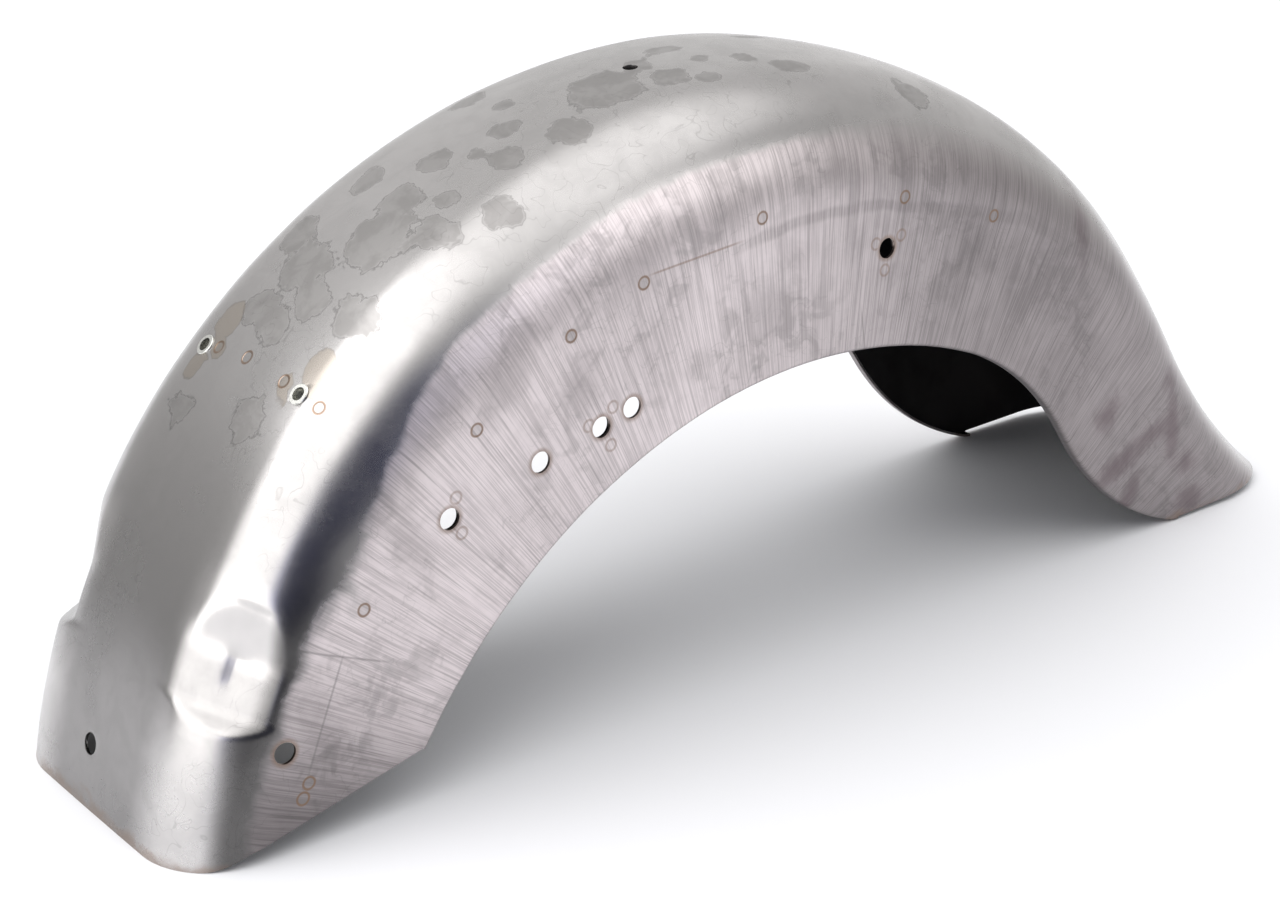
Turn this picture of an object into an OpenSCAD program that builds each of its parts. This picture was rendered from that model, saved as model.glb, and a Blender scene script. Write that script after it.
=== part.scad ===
// Rear fender for a motorcycle, pressed from one steel sheet.
// +X points to the tail, +Y to the right-hand side and +Z up. The fender stands on its front
// crown edge and on the two side lobes, and the origin is under the middle of its length.
// A place on the fender is given as a station, which is the length along the middle of the
// crown from the front edge, and a drop, which is the depth below the crown at that station.

/* [Sheet] */
// Thickness of the pressed sheet
sheet_t = 1.5; // [1:0.1:3]
// Overall width across the side walls
width = 176; // [140:1:240]
// Width of the lip turned in along the wheel arch
lip_w = 6; // [4:0.5:12]
// Outer bend radius of the lip
lip_bend_r = 2.2; // [1.8:0.1:3]

/* [Crown profile] */
// Slope of the crown at its front edge, in degrees
front_heading = 80; // [74:0.5:86]
// Radius of the front leg
front_leg_r = 410; // [360:5:500]
// Slope where the front leg runs into the main crown arc
front_leg_end = 59.5; // [50:0.5:68]
// Radius of the main crown arc
crown_r = 350; // [320:1:400]
// Slope where the main crown arc ends
crown_end = -51.5; // [-54:0.5:-46]
// Radius of the tail leg
tail_leg_r = 900; // [600:10:1500]
// Slope where the tail leg ends
tail_leg_end = -56.5; // [-60:0.5:-55]
// Radius of the reverse curve that flips the tail outward
tail_flip_r = 405; // [350:5:600]

/* [Cross section] */
// Shoulder radius at the front edge
front_shoulder_r = 40; // [30:1:48]
// Shoulder radius at the top of the crown
top_shoulder_r = 60; // [40:1:64]
// Shoulder radius at the tail
tail_shoulder_r = 37; // [28:1:48]
// Angle at which the crown meets the shoulder at the front edge
front_dome = 0.5; // [0.5:0.5:6]
// Angle at which the crown meets the shoulder at the top
top_dome = 10; // [4:0.5:16]
// Angle at which the crown meets the shoulder at the tail
tail_dome = 20; // [8:0.5:24]

/* [Trimmed ends] */
// Rise of the front cut along the side walls, in degrees
front_cut = 12.8; // [8:0.1:16]
// Distance behind the front edge at which the line of the front cut meets the ground
front_cut_at = 3.9; // [0:0.1:8]
// Length of the nose that stays level around the shoulders
nose_level = 8; // [4:0.5:12]
// Length over which the front cut rises from level to its full slope
nose_rise = 28; // [20:1:36]
// Rise of the tail cut behind the lobes, in degrees
tail_cut = 2.9; // [1:0.1:5]
// Height of the tail cut above the ground where the lip ends
tail_lift = 1; // [0.5:0.1:2]

/* [Wheel arch] */
// Distance from the front edge to the centre of the arch
arch_x = 369.6; // [360:0.1:380]
// Depth of the arch centre below the ground
arch_drop = 117.6; // [110:0.1:125]
// Radius of the wheel arch
arch_r = 283; // [275:0.5:290]
// Slope where the wheel arch tightens
arch_end = -21.5; // [-25:0.5:-18]
// Radius of the tighter curve above the lobe
arch_tight_r = 170; // [150:5:190]
// Slope of the straight flank of the lobe
lobe_slope = -55; // [-58:0.5:-50]
// Length of the straight flank of the lobe
lobe_flank = 15; // [5:1:25]
// Radius of the foot of the lobe
lobe_foot_r = 20; // [15:1:30]

/* [Shoulder dents] */
// Depth of the flat pressed into each front shoulder
dent_depth = 8; // [4:0.1:12]
// Tilt of the pressed flat away from the crown
dent_tilt = 36; // [28:1:40]
// Station of the lower end of the pressed flat
dent_low = 79; // [70:1:90]
// Station of the upper end of the pressed flat
dent_high = 101; // [96:1:116]
// Length of the ramp at the lower end
dent_low_ramp = 12; // [8:1:16]
// Length of the ramp at the upper end
dent_high_ramp = 40; // [24:1:48]

/* [Side holes] */
// Diameter of the bolt holes in the side walls and in the front of the crown
bolt_d = 10.5; // [8:0.1:13]
// Station of the lower front hole
hole_a_at = 66; // [60:0.5:72]
// Drop of the lower front hole
hole_a_drop = 38.3; // [36:0.1:50]
// Station of the front strut hole
hole_b_at = 208.7; // [200:0.1:216]
// Drop of the front strut hole
hole_b_drop = 73.7; // [66:0.1:80]
// Station of the upper of the two plain holes
hole_c_at = 270.6; // [264:0.1:278]
// Height of the upper of the two plain holes above the wheel arch
hole_c_up = 40.7; // [30:0.1:50]
// Station of the middle strut hole
hole_d_at = 318.8; // [312:0.1:324]
// Height of the middle strut hole above the wheel arch
hole_d_up = 31; // [24:0.1:40]
// Station of the plain hole beside the middle strut hole
hole_e_at = 346.3; // [340:0.1:354]
// Height of the plain hole beside the middle strut hole above the wheel arch
hole_e_up = 28.4; // [22:0.1:40]
// Station of the rear strut hole
hole_f_at = 586.1; // [576:0.1:596]
// Drop of the rear strut hole
hole_f_drop = 87.6; // [80:0.1:94]

/* [Crown fittings] */
// Station of the lower crown hole
crown_hole_at = 30.5; // [24:0.5:40]
// Sideways place of the lower crown hole
crown_hole_y = 8.8; // [-12:0.1:12]
// Station of the two threaded inserts
insert_at = 221; // [212:1:230]
// Distance from each threaded insert to the side wall beside it
insert_from_side = 46.75; // [44:0.25:54]
// Diameter of the insert flange
insert_flange_d = 10.4; // [9.5:0.1:13]
// Height of the insert flange above the sheet
insert_flange_h = 0.8; // [0.6:0.1:1.5]
// Diameter of the insert shank
insert_shank_d = 8; // [7:0.1:9]
// Diameter of the bulb formed behind the plate
insert_bulb_d = 11; // [10:0.1:13]
// Length of the insert behind the plate
insert_tail_l = 11; // [8:0.5:16]
// Thread bore of the inserts
insert_bore_d = 5.2; // [4:0.1:5.8]
// Station of the seat screw hole
seat_hole_at = 465.2; // [455:0.1:480]
// Sideways place of the seat screw hole
seat_hole_y = -8.6; // [-12:0.1:12]
// Diameter of the seat screw hole
seat_hole_d = 7.5; // [6.5:0.1:9]
// Thread bore of the seat nut
seat_nut_bore_d = 5.2; // [4:0.1:6]
// Width of the seat nut across its flats
seat_nut_flats = 11.2; // [10:0.1:14]
// Height of the seat nut
seat_nut_h = 5; // [4:0.5:8]

/* [Welded plates] */
// Thickness of the straps and doublers
plate_t = 1.5; // [1:0.1:3]
// Width of the side straps
strap_w = 16; // [12:1:18]
// Gap between the pressed sheet and the plates behind it
plate_gap = 0.25; // [0.1:0.05:0.4]
// Station where the side straps start
strap_from = 30; // [24:1:40]
// Station where the side straps end
strap_to = 690; // [670:1:710]
// Drop of the middle of the strap at the front edge
strap_drop_front = 53; // [52:0.5:56]
// Drop of the middle of the strap at the top
strap_drop_top = 62.5; // [60:0.5:66]
// Drop of the middle of the strap at the tail
strap_drop_tail = 46; // [44:0.5:52]
// Diameter of the doublers behind the strut holes
doubler_d = 25; // [22:0.5:26]
// Clearance between a bolt hole and the hole in the plate behind it
plate_hole_gap = 0.5; // [0.3:0.1:1]
// Length of the crown plate along the crown
crown_plate_l = 34; // [26:1:44]
// Distance from each end of the crown plate to the side wall beside it
crown_plate_from_side = 32; // [30:1:36]

/* [Hidden] */
$fn = 48;
eps = 0.01;

steel = [0.62, 0.61, 0.62];
dark_steel = [0.38, 0.37, 0.38];
zinc = [0.80, 0.80, 0.74];

half_w = width / 2;
insert_y = half_w - insert_from_side;
crown_plate_y = half_w - crown_plate_from_side;
cut_tan = tan(front_cut);
tail_tan = tan(tail_cut);

// Curves made of tangent arcs. A segment is [radius, end heading]; the heading is the slope in
// degrees, a positive radius turns it down and a negative one turns it up.
function heading_vec(h) = [cos(h), sin(h)];
function right_normal(h) = [sin(h), -cos(h)];
function arc_length(r, h0, h1) = (h0 - h1) * PI / 180 * r;
function arc_end(p, r, h0, h1) = p + r * (right_normal(h0) - right_normal(h1));

// Legs of a curve as [start length, start point, start heading, radius], one for each arc.
function legs(p, h, arcs, at = 0, i = 0) =
    i == len(arcs) ? [[at, p, h, arcs[i - 1][0]]]
    : concat([[at, p, h, arcs[i][0]]],
        legs(arc_end(p, arcs[i][0], h, arcs[i][1]), arcs[i][1], arcs,
            at + arc_length(arcs[i][0], h, arcs[i][1]), i + 1));

function leg_index(curve, s, i = 0) =
    i >= len(curve) - 2 || s < curve[i + 1][0] ? i : leg_index(curve, s, i + 1);
function curve_heading(curve, s) =
    let (leg = curve[leg_index(curve, s)]) leg[2] - (s - leg[0]) / leg[3] * 180 / PI;
function curve_point(curve, s) =
    let (leg = curve[leg_index(curve, s)], h = curve_heading(curve, s))
    arc_end(leg[1], leg[3], leg[2], h);
function curve_length(curve) = curve[len(curve) - 1][0];

// The crown runs on past the tail cut, and the cut then finds its end.
crown_run_out = -34;
crown = legs([0, 0], front_heading, [[front_leg_r, front_leg_end], [crown_r, crown_end],
    [tail_leg_r, tail_leg_end], [-tail_flip_r, crown_run_out]]);
top_at = crown[1][0] + arc_length(crown_r, front_leg_end, 0);
tail_leg_at = crown[2][0];
flip_at = crown[3][0];
section_end = flip_at + 0.90985 * (curve_length(crown) - flip_at);

// Cross section, blended from the front edge to the top and from the top to the tail.
function ease(t) = let (u = min(1, max(0, t))) u * u * (3 - 2 * u);
function blend(s, front, top, tail) =
    front + (top - front) * ease(s / top_at)
        + (tail - top) * ease((s - top_at) / (section_end - top_at));
function shoulder_r(s) = blend(s, front_shoulder_r, top_shoulder_r, tail_shoulder_r);
function dome(s) = blend(s, front_dome, top_dome, tail_dome);

// How far a height above the pressed flat is pushed back, with a soft bend at its border.
dent_bend = 2.5;
function pushed(over) =
    over <= -dent_bend ? 0 : over >= dent_bend ? over : pow(over + dent_bend, 2) / (4 * dent_bend);
function dent_share(s) = ease((s - dent_low + dent_low_ramp) / dent_low_ramp)
    * ease((dent_high + dent_high_ramp - s) / dent_high_ramp);

// Sideways place and drop of a point of the half section, inset by o from the outer face.
dome_steps = 4;
shoulder_steps = 10;
curve_steps = dome_steps + shoulder_steps;
function plain_section(s, k, o) =
    let (r = shoulder_r(s), b = dome(s), flat = half_w - r, dome_r = flat / sin(b) + r,
        a = k <= dome_steps ? b * k / dome_steps
            : b + (90 - b) * (k - dome_steps) / shoulder_steps)
    k <= dome_steps
        ? [(dome_r - o) * sin(a), dome_r * (1 - cos(a)) + o * cos(a)]
        : [flat + (r - o) * sin(a), flat * tan(b / 2) + r - (r - o) * cos(a)];
function section(s, k, o) =
    let (p = plain_section(s, k, o), r = shoulder_r(s), flat = half_w - r,
        full = flat * sin(dent_tilt) + r * (1 - cos(dent_tilt)) - o,
        level = full - dent_depth * dent_share(s),
        over = p[0] * sin(dent_tilt) - p[1] * cos(dent_tilt) - level,
        push = dent_share(s) > 0 ? pushed(over) * min(1, dent_share(s) * 4) : 0)
    p + push * [-sin(dent_tilt), cos(dent_tilt)];

// Point in the side view at a station and a drop.
function side_point(s, drop) = curve_point(crown, s) + drop * right_normal(curve_heading(crown, s));

// The two cuts, as heights over the cut line.
function over_front(p) =
    p[1] - cut_tan * (p[0] - front_cut_at) * ease((p[0] - nose_level) / nose_rise);
function over_tail(p) = p[1] - tail_lift - tail_tan * (p[0] - lobe_end[0]);
function front_trim(k, o, lo = 0, hi = 2 * front_shoulder_r, n = 0) =
    let (mid = (lo + hi) / 2)
    n == 24 ? mid
    : over_front(side_point(mid, section(mid, k, o)[1])) < 0 ? front_trim(k, o, mid, hi, n + 1)
    : front_trim(k, o, lo, mid, n + 1);
function tail_trim(k, o, lo = tail_leg_at, hi = curve_length(crown), n = 0) =
    let (mid = (lo + hi) / 2)
    n == 24 ? mid
    : over_tail(side_point(mid, section(mid, k, o)[1])) > 0 ? tail_trim(k, o, mid, hi, n + 1)
    : tail_trim(k, o, lo, mid, n + 1);

// Wheel arch, from the front cut over the wheel to the foot of the lobe.
arch_centre = [arch_x, -arch_drop];
corner_drop = arch_drop - cut_tan * front_cut_at;
corner_b = cut_tan * corner_drop - arch_x;
corner_c = arch_x * arch_x + corner_drop * corner_drop - arch_r * arch_r;
corner_a = 1 + cut_tan * cut_tan;
corner_x = (-corner_b - sqrt(corner_b * corner_b - corner_a * corner_c)) / corner_a;
arch_corner = [corner_x, cut_tan * (corner_x - front_cut_at)];
corner_heading = atan2(arch_x - corner_x, arch_corner[1] + arch_drop);
lobe_foot_heading = -18;
straight_r = 1e6;
flank_turn = lobe_flank / straight_r * 180 / PI;
arch_top = legs(arch_corner, corner_heading, [[arch_r, arch_end], [arch_tight_r, lobe_slope],
    [straight_r, lobe_slope - flank_turn]]);
flank_end = arch_top[3][1];
foot_drop = lobe_foot_r * (1 - cos(lobe_foot_heading));
lobe_r = (flank_end[1] - foot_drop) / (cos(lobe_foot_heading) - cos(lobe_slope));
arch = legs(arch_corner, corner_heading, [[arch_r, arch_end], [arch_tight_r, lobe_slope],
    [straight_r, lobe_slope - flank_turn], [-lobe_r, lobe_foot_heading], [-lobe_foot_r, 0]]);
arch_l = curve_length(arch);
lobe_end = curve_point(arch, arch_l);
arch_top_at = arc_length(arch_r, corner_heading, 0);

// Stations of the mesh: close together over the dents, wider elsewhere.
crown_l = tail_trim(0, 0);
front_blend = dent_low - dent_low_ramp - 4;
tail_blend = 220;
dent_step = 4;
plain_step = 23;
after_dent = dent_high + dent_high_ramp + dent_step;
dent_count = round((after_dent - front_blend) / dent_step);
plain_count = round((crown_l - after_dent) / plain_step);
stations = concat(
    [for (i = [0:3]) front_blend * i / 4],
    [for (i = [0:dent_count - 1]) front_blend + (after_dent - front_blend) * i / dent_count],
    [for (i = [0:plain_count]) after_dent + (crown_l - after_dent) * i / plain_count]);
last = len(stations) - 1;

// Length along the arch that belongs to a station.
function arch_at(s) = lookup(s, [[0, 0], [top_at, arch_top_at], [tail_leg_at, arch[2][0]],
    [crown_l, arch_l]]);

// Points of the half ring, from the middle of the crown down to the end of the lip.
bend_steps = 2;
lip_index = curve_steps + bend_steps + 2;
front_trims = [for (o = [0, sheet_t]) [for (k = [0:curve_steps]) front_trim(k, o)]];
tail_trims = [for (o = [0, sheet_t]) [for (k = [0:curve_steps]) crown_l - tail_trim(k, o)]];
function sheared(s, k, layer) = s + front_trims[layer][k] * max(0, 1 - s / front_blend)
    - tail_trims[layer][k] * max(0, 1 - (crown_l - s) / tail_blend);
function crown_ring_point(s, k, layer) =
    let (at = sheared(s, k, layer), q = section(at, k, layer * sheet_t), p = side_point(at, q[1]))
    [p[0], q[0], p[1]];
function edge_ring_point(s, k, layer) =
    let (u = arch_at(s), down = right_normal(curve_heading(arch, u)),
        bend = min(1, (k - curve_steps - 1) / bend_steps), r = lip_bend_r - layer * sheet_t,
        p = curve_point(arch, u) - down * (lip_bend_r - r * sin(90 * bend)),
        y = k == lip_index ? half_w - lip_w : half_w - lip_bend_r + r * cos(90 * bend))
    [p[0], y, p[1]];
function ring_point(s, k, layer) =
    k <= curve_steps ? crown_ring_point(s, k, layer) : edge_ring_point(s, k, layer);

// A ring goes over the outer face from the left lip to the right one and back inside.
function mirrored(p, side) = [p[0], side * p[1], p[2]];
function ring(s) = concat(
    [for (k = [lip_index:-1:1]) mirrored(ring_point(s, k, 0), -1)],
    [for (k = [0:lip_index]) ring_point(s, k, 0)],
    [for (k = [lip_index:-1:1]) ring_point(s, k, 1)],
    [for (k = [0:lip_index]) mirrored(ring_point(s, k, 1), -1)]);
ring_size = 4 * lip_index + 2;
arm = 2 * lip_index;

function quad(a, b, c, d) = [[a, b, c], [a, c, d]];
function flat_list(l) = [for (a = l) for (b = a) b];
skin_faces = flat_list([for (i = [0:last - 1]) for (j = [0:ring_size - 1])
    let (n = (j + 1) % ring_size, a = i * ring_size, b = a + ring_size)
    quad(a + j, a + n, b + n, b + j)]);
function cap_faces(a, turned) = flat_list([for (j = [0:arm - 1])
    let (o0 = a + j, o1 = a + j + 1, i0 = a + ring_size - 1 - j, i1 = i0 - 1)
    turned ? quad(o0, o1, i1, i0) : quad(o0, i0, i1, o1)]);

// Half of the distance between the outermost points, which centres the fender on the origin.
shift_x = -curve_point(crown, crown_l)[0] / 2;
module centred() { translate([shift_x, 0, 0]) children(); }

// Drop at a station of a place that lies a height above the wheel arch.
function drop_over_arch(s, up) =
    let (from = curve_point(crown, s) - arch_centre, along = from * right_normal(curve_heading(crown, s)))
    -along - sqrt(along * along - from * from + pow(arch_r + up, 2));

// Side places of the bolt holes, front to rear.
side_holes = [[hole_a_at, hole_a_drop], [hole_b_at, hole_b_drop],
    [hole_c_at, drop_over_arch(hole_c_at, hole_c_up)],
    [hole_d_at, drop_over_arch(hole_d_at, hole_d_up)],
    [hole_e_at, drop_over_arch(hole_e_at, hole_e_up)], [hole_f_at, hole_f_drop]];
front_strut_hole = side_holes[1];
middle_strut_hole = side_holes[3];
rear_strut_hole = side_holes[5];

// Axis across the side wall, from just outside it to inside the lip.
module across_wall(place, side) {
    p = side_point(place[0], place[1]);
    translate([p[0], side * half_w, p[1]]) rotate([side * 90, 0, 0]) children();
}

// Slope of the crown towards the side, at a place y from the middle.
function dome_radius(s) = (half_w - shoulder_r(s)) / sin(dome(s)) + shoulder_r(s);
function dome_angle(s, y) = asin(y / dome_radius(s));

// Local frame on the outer face of the crown, with +Z pointing away from it.
module on_crown(s, y) {
    r = dome_radius(s);
    p = side_point(s, r - r * cos(dome_angle(s, y)));
    translate([p[0], y, p[1]]) rotate([0, -curve_heading(crown, s), 0])
        rotate([-dome_angle(s, y), 0, 0]) children();
}

module fender_shell() {
    wall_cut = 4 * sheet_t;
    color(steel) centred() difference() {
        polyhedron(points = flat_list([for (s = stations) ring(s)]),
            faces = concat(skin_faces, cap_faces(0, false), cap_faces(last * ring_size, true)),
            convexity = 10);
        for (side = [-1, 1]) for (h = side_holes)
            across_wall(h, side) translate([0, 0, -wall_cut / 2])
                cylinder(d = bolt_d, h = wall_cut);
        on_crown(crown_hole_at, crown_hole_y) translate([0, 0, -wall_cut / 2])
            cylinder(d = bolt_d, h = wall_cut);
        for (side = [-1, 1]) on_crown(insert_at, side * insert_y)
            translate([0, 0, -wall_cut / 2]) cylinder(d = insert_shank_d, h = wall_cut);
        on_crown(seat_hole_at, seat_hole_y) translate([0, 0, -wall_cut / 2])
            cylinder(d = seat_hole_d, h = wall_cut);
    }
}

// A plate bounded by two grids of points, the outer one first.
module plate_between(outer, inner) {
    rows = len(outer);
    cols = len(outer[0]);
    count = rows * cols;
    function id(i, j, low) = (low ? count : 0) + i * cols + j;
    polyhedron(points = concat(flat_list(outer), flat_list(inner)), convexity = 4,
        faces = flat_list(concat(
        [for (i = [0:rows - 2]) for (j = [0:cols - 2])
            quad(id(i, j, false), id(i, j + 1, false), id(i + 1, j + 1, false),
                id(i + 1, j, false))],
        [for (i = [0:rows - 2]) for (j = [0:cols - 2])
            quad(id(i, j, true), id(i + 1, j, true), id(i + 1, j + 1, true),
                id(i, j + 1, true))],
        [for (j = [0:cols - 2])
            quad(id(0, j, false), id(0, j, true), id(0, j + 1, true), id(0, j + 1, false))],
        [for (j = [0:cols - 2])
            quad(id(rows - 1, j + 1, false), id(rows - 1, j + 1, true),
                id(rows - 1, j, true), id(rows - 1, j, false))],
        [for (i = [0:rows - 2])
            quad(id(i + 1, 0, false), id(i + 1, 0, true), id(i, 0, true), id(i, 0, false))],
        [for (i = [0:rows - 2])
            quad(id(i, cols - 1, false), id(i, cols - 1, true), id(i + 1, cols - 1, true),
                id(i + 1, cols - 1, false))])));
}

// Point at a drop on the side of the fender, moved inward by depth along the surface normal.
function side_skin_point(s, drop, side, depth) =
    let (r = shoulder_r(s), flat = half_w - r, base = flat * tan(dome(s) / 2) + r,
        a = drop >= base ? 90 : acos((base - drop) / r),
        p = side_point(s, drop + depth * cos(a)))
    [p[0], side * (flat + (r - depth) * sin(a)), p[1]];
function strap_drop(s) = blend(s, strap_drop_front, strap_drop_top, strap_drop_tail);
strap_rows = 40;
strap_cols = 4;
function strap_grid(side, depth) = [for (i = [0:strap_rows])
    let (s = strap_from + (strap_to - strap_from) * i / strap_rows)
    [for (j = [0:strap_cols])
        side_skin_point(s, strap_drop(s) + side * strap_w * (j / strap_cols - 0.5), side, depth)]];

// Plain disc behind a side wall, around a strut hole.
module wall_disc(place, side, d, from, to) {
    across_wall(place, side) translate([0, 0, from]) cylinder(d = d, h = to - from);
}
plate_hole_d = bolt_d + 2 * plate_hole_gap;
plate_in = sheet_t + plate_gap;
plate_out = plate_in + plate_t;
eye_step = 0.1;
module side_strap(side) {
    color(dark_steel) centred() difference() {
        union() {
            plate_between(strap_grid(side, plate_in), strap_grid(side, plate_out));
            wall_disc(front_strut_hole, side, doubler_d, plate_in + eye_step,
                plate_out + eye_step);
        }
        wall_disc(front_strut_hole, side, plate_hole_d, 0, plate_out + 1);
    }
}
module side_strap_left() { side_strap(-1); }
module side_strap_right() { side_strap(1); }

module doubler(place, side) {
    color(dark_steel) centred() difference() {
        wall_disc(place, side, doubler_d, plate_in, plate_out);
        wall_disc(place, side, plate_hole_d, 0, plate_out + 1);
    }
}
module middle_doubler_left() { doubler(middle_strut_hole, -1); }
module middle_doubler_right() { doubler(middle_strut_hole, 1); }
module rear_doubler_left() { doubler(rear_strut_hole, -1); }
module rear_doubler_right() { doubler(rear_strut_hole, 1); }

// Plate under the crown that spreads the load of the two inserts.
plate_cols = 12;
plate_rows = 4;
function crown_skin_point(s, y, depth) =
    let (r = shoulder_r(s), flat = half_w - r, dome_r = dome_radius(s),
        on_dome = abs(y) <= dome_r * sin(dome(s)),
        drop = on_dome ? dome_r - sqrt(dome_r * dome_r - y * y)
            : flat * tan(dome(s) / 2) + r - sqrt(r * r - pow(abs(y) - flat, 2)),
        a = on_dome ? asin(y / dome_r) : sign(y) * asin((abs(y) - flat) / r),
        p = side_point(s, drop + depth * cos(a)))
    [p[0], y - depth * sin(a), p[1]];
function crown_plate_grid(depth) = [for (i = [0:plate_rows]) [for (j = [0:plate_cols])
    crown_skin_point(insert_at + crown_plate_l * (i / plate_rows - 0.5),
        2 * crown_plate_y * (j / plate_cols - 0.5), depth)]];
module crown_plate() {
    bore_l = 6 * plate_t;
    color(dark_steel) centred() difference() {
        plate_between(crown_plate_grid(plate_in), crown_plate_grid(plate_out));
        for (side = [-1, 1]) on_crown(insert_at, side * insert_y)
            translate([0, 0, -bore_l]) cylinder(d = insert_shank_d, h = bore_l);
    }
}

// Threaded insert: thin flange outside, plain mouth through sheet and plate, formed bulb behind
// the plate and the thread bore in the tail.
insert_mouth_d = insert_bore_d + 1.4;
insert_bulb_h = 2.6;
module crown_insert(side) {
    grip = plate_out;
    bulb_h = insert_bulb_h;
    flange_edge = 0.3;
    color(zinc) centred() on_crown(insert_at, side * insert_y) rotate_extrude()
        polygon([[insert_mouth_d / 2, insert_flange_h], [insert_flange_d / 2 - flange_edge,
            insert_flange_h], [insert_flange_d / 2, insert_flange_h - flange_edge],
            [insert_flange_d / 2, 0.05], [insert_shank_d / 2, 0.05],
            [insert_shank_d / 2, -grip - 0.1], [insert_bulb_d / 2, -grip - 0.1],
            [insert_bulb_d / 2, -grip - bulb_h * 0.6], [insert_shank_d / 2, -grip - bulb_h],
            [insert_shank_d / 2, -grip - insert_tail_l], [insert_bore_d / 2,
            -grip - insert_tail_l], [insert_bore_d / 2, -grip - bulb_h],
            [insert_mouth_d / 2, -grip - bulb_h]]);
}
module crown_insert_left() { crown_insert(-1); }
module crown_insert_right() { crown_insert(1); }

// Hexagon nut welded under the seat screw hole.
module seat_nut() {
    seat_gap = 0.1;
    color(dark_steel) centred() on_crown(seat_hole_at, seat_hole_y)
        translate([0, 0, -sheet_t - seat_gap - seat_nut_h]) difference() {
            cylinder(d = seat_nut_flats / cos(30), h = seat_nut_h, $fn = 6);
            translate([0, 0, -eps]) cylinder(d = seat_nut_bore_d, h = seat_nut_h + 2 * eps);
        }
}

fender_shell();
side_strap_left();
side_strap_right();
middle_doubler_left();
middle_doubler_right();
rear_doubler_left();
rear_doubler_right();
crown_plate();
crown_insert_left();
crown_insert_right();
seat_nut();
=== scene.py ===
"""Raw steel motorcycle rear fender standing on a pale table.

The pressed sheet is modelled with a fine mesh over the solids of the frame, from the same
curves, and each inner piece keeps its solid and gets a finish.
"""

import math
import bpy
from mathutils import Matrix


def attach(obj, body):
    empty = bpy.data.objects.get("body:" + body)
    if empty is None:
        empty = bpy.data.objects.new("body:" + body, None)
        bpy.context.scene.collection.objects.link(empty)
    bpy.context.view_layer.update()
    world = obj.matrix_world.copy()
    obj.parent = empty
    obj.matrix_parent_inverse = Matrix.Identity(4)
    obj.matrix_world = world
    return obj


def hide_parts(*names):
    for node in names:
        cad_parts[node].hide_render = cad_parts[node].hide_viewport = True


bl_info = {
    "name": "Raw steel rear fender",
    "version": (1, 0, 0),
    "blender": (4, 5, 0),
    "location": "3D Viewport > Sidebar > Fender",
    "description": "Dresses the packed fender with bare sheet steel and sets a plain studio",
    "category": "Object",
}

import bmesh
import bpy
import numpy as np
from bpy.props import FloatProperty, FloatVectorProperty, PointerProperty
from bpy.types import Operator, Panel, PropertyGroup
from mathutils import Matrix, Vector, noise

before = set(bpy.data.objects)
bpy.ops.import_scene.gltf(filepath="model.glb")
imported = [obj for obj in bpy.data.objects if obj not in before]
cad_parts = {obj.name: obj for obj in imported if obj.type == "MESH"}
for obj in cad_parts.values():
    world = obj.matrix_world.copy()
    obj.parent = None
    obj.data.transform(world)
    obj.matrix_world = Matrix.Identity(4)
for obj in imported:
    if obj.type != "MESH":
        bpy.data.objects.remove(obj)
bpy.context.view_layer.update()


# Sizes and colours a user would change


def length(name, about, default):
    """A length in metres."""
    return FloatProperty(
        name=name, description=about, default=default, min=0.0, unit="LENGTH", precision=4
    )


def turn(name, about, degrees):
    """An angle, given in degrees."""
    return FloatProperty(
        name=name, description=about, default=math.radians(degrees), subtype="ANGLE"
    )


def colour(name, about, default):
    """A linear colour."""
    return FloatVectorProperty(
        name=name, description=about, default=default, size=3, min=0.0, max=1.0, subtype="COLOR"
    )


def share(name, about, default):
    """A plain number from 0 to 1."""
    return FloatProperty(name=name, description=about, default=default, min=0.0, max=1.0)


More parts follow.
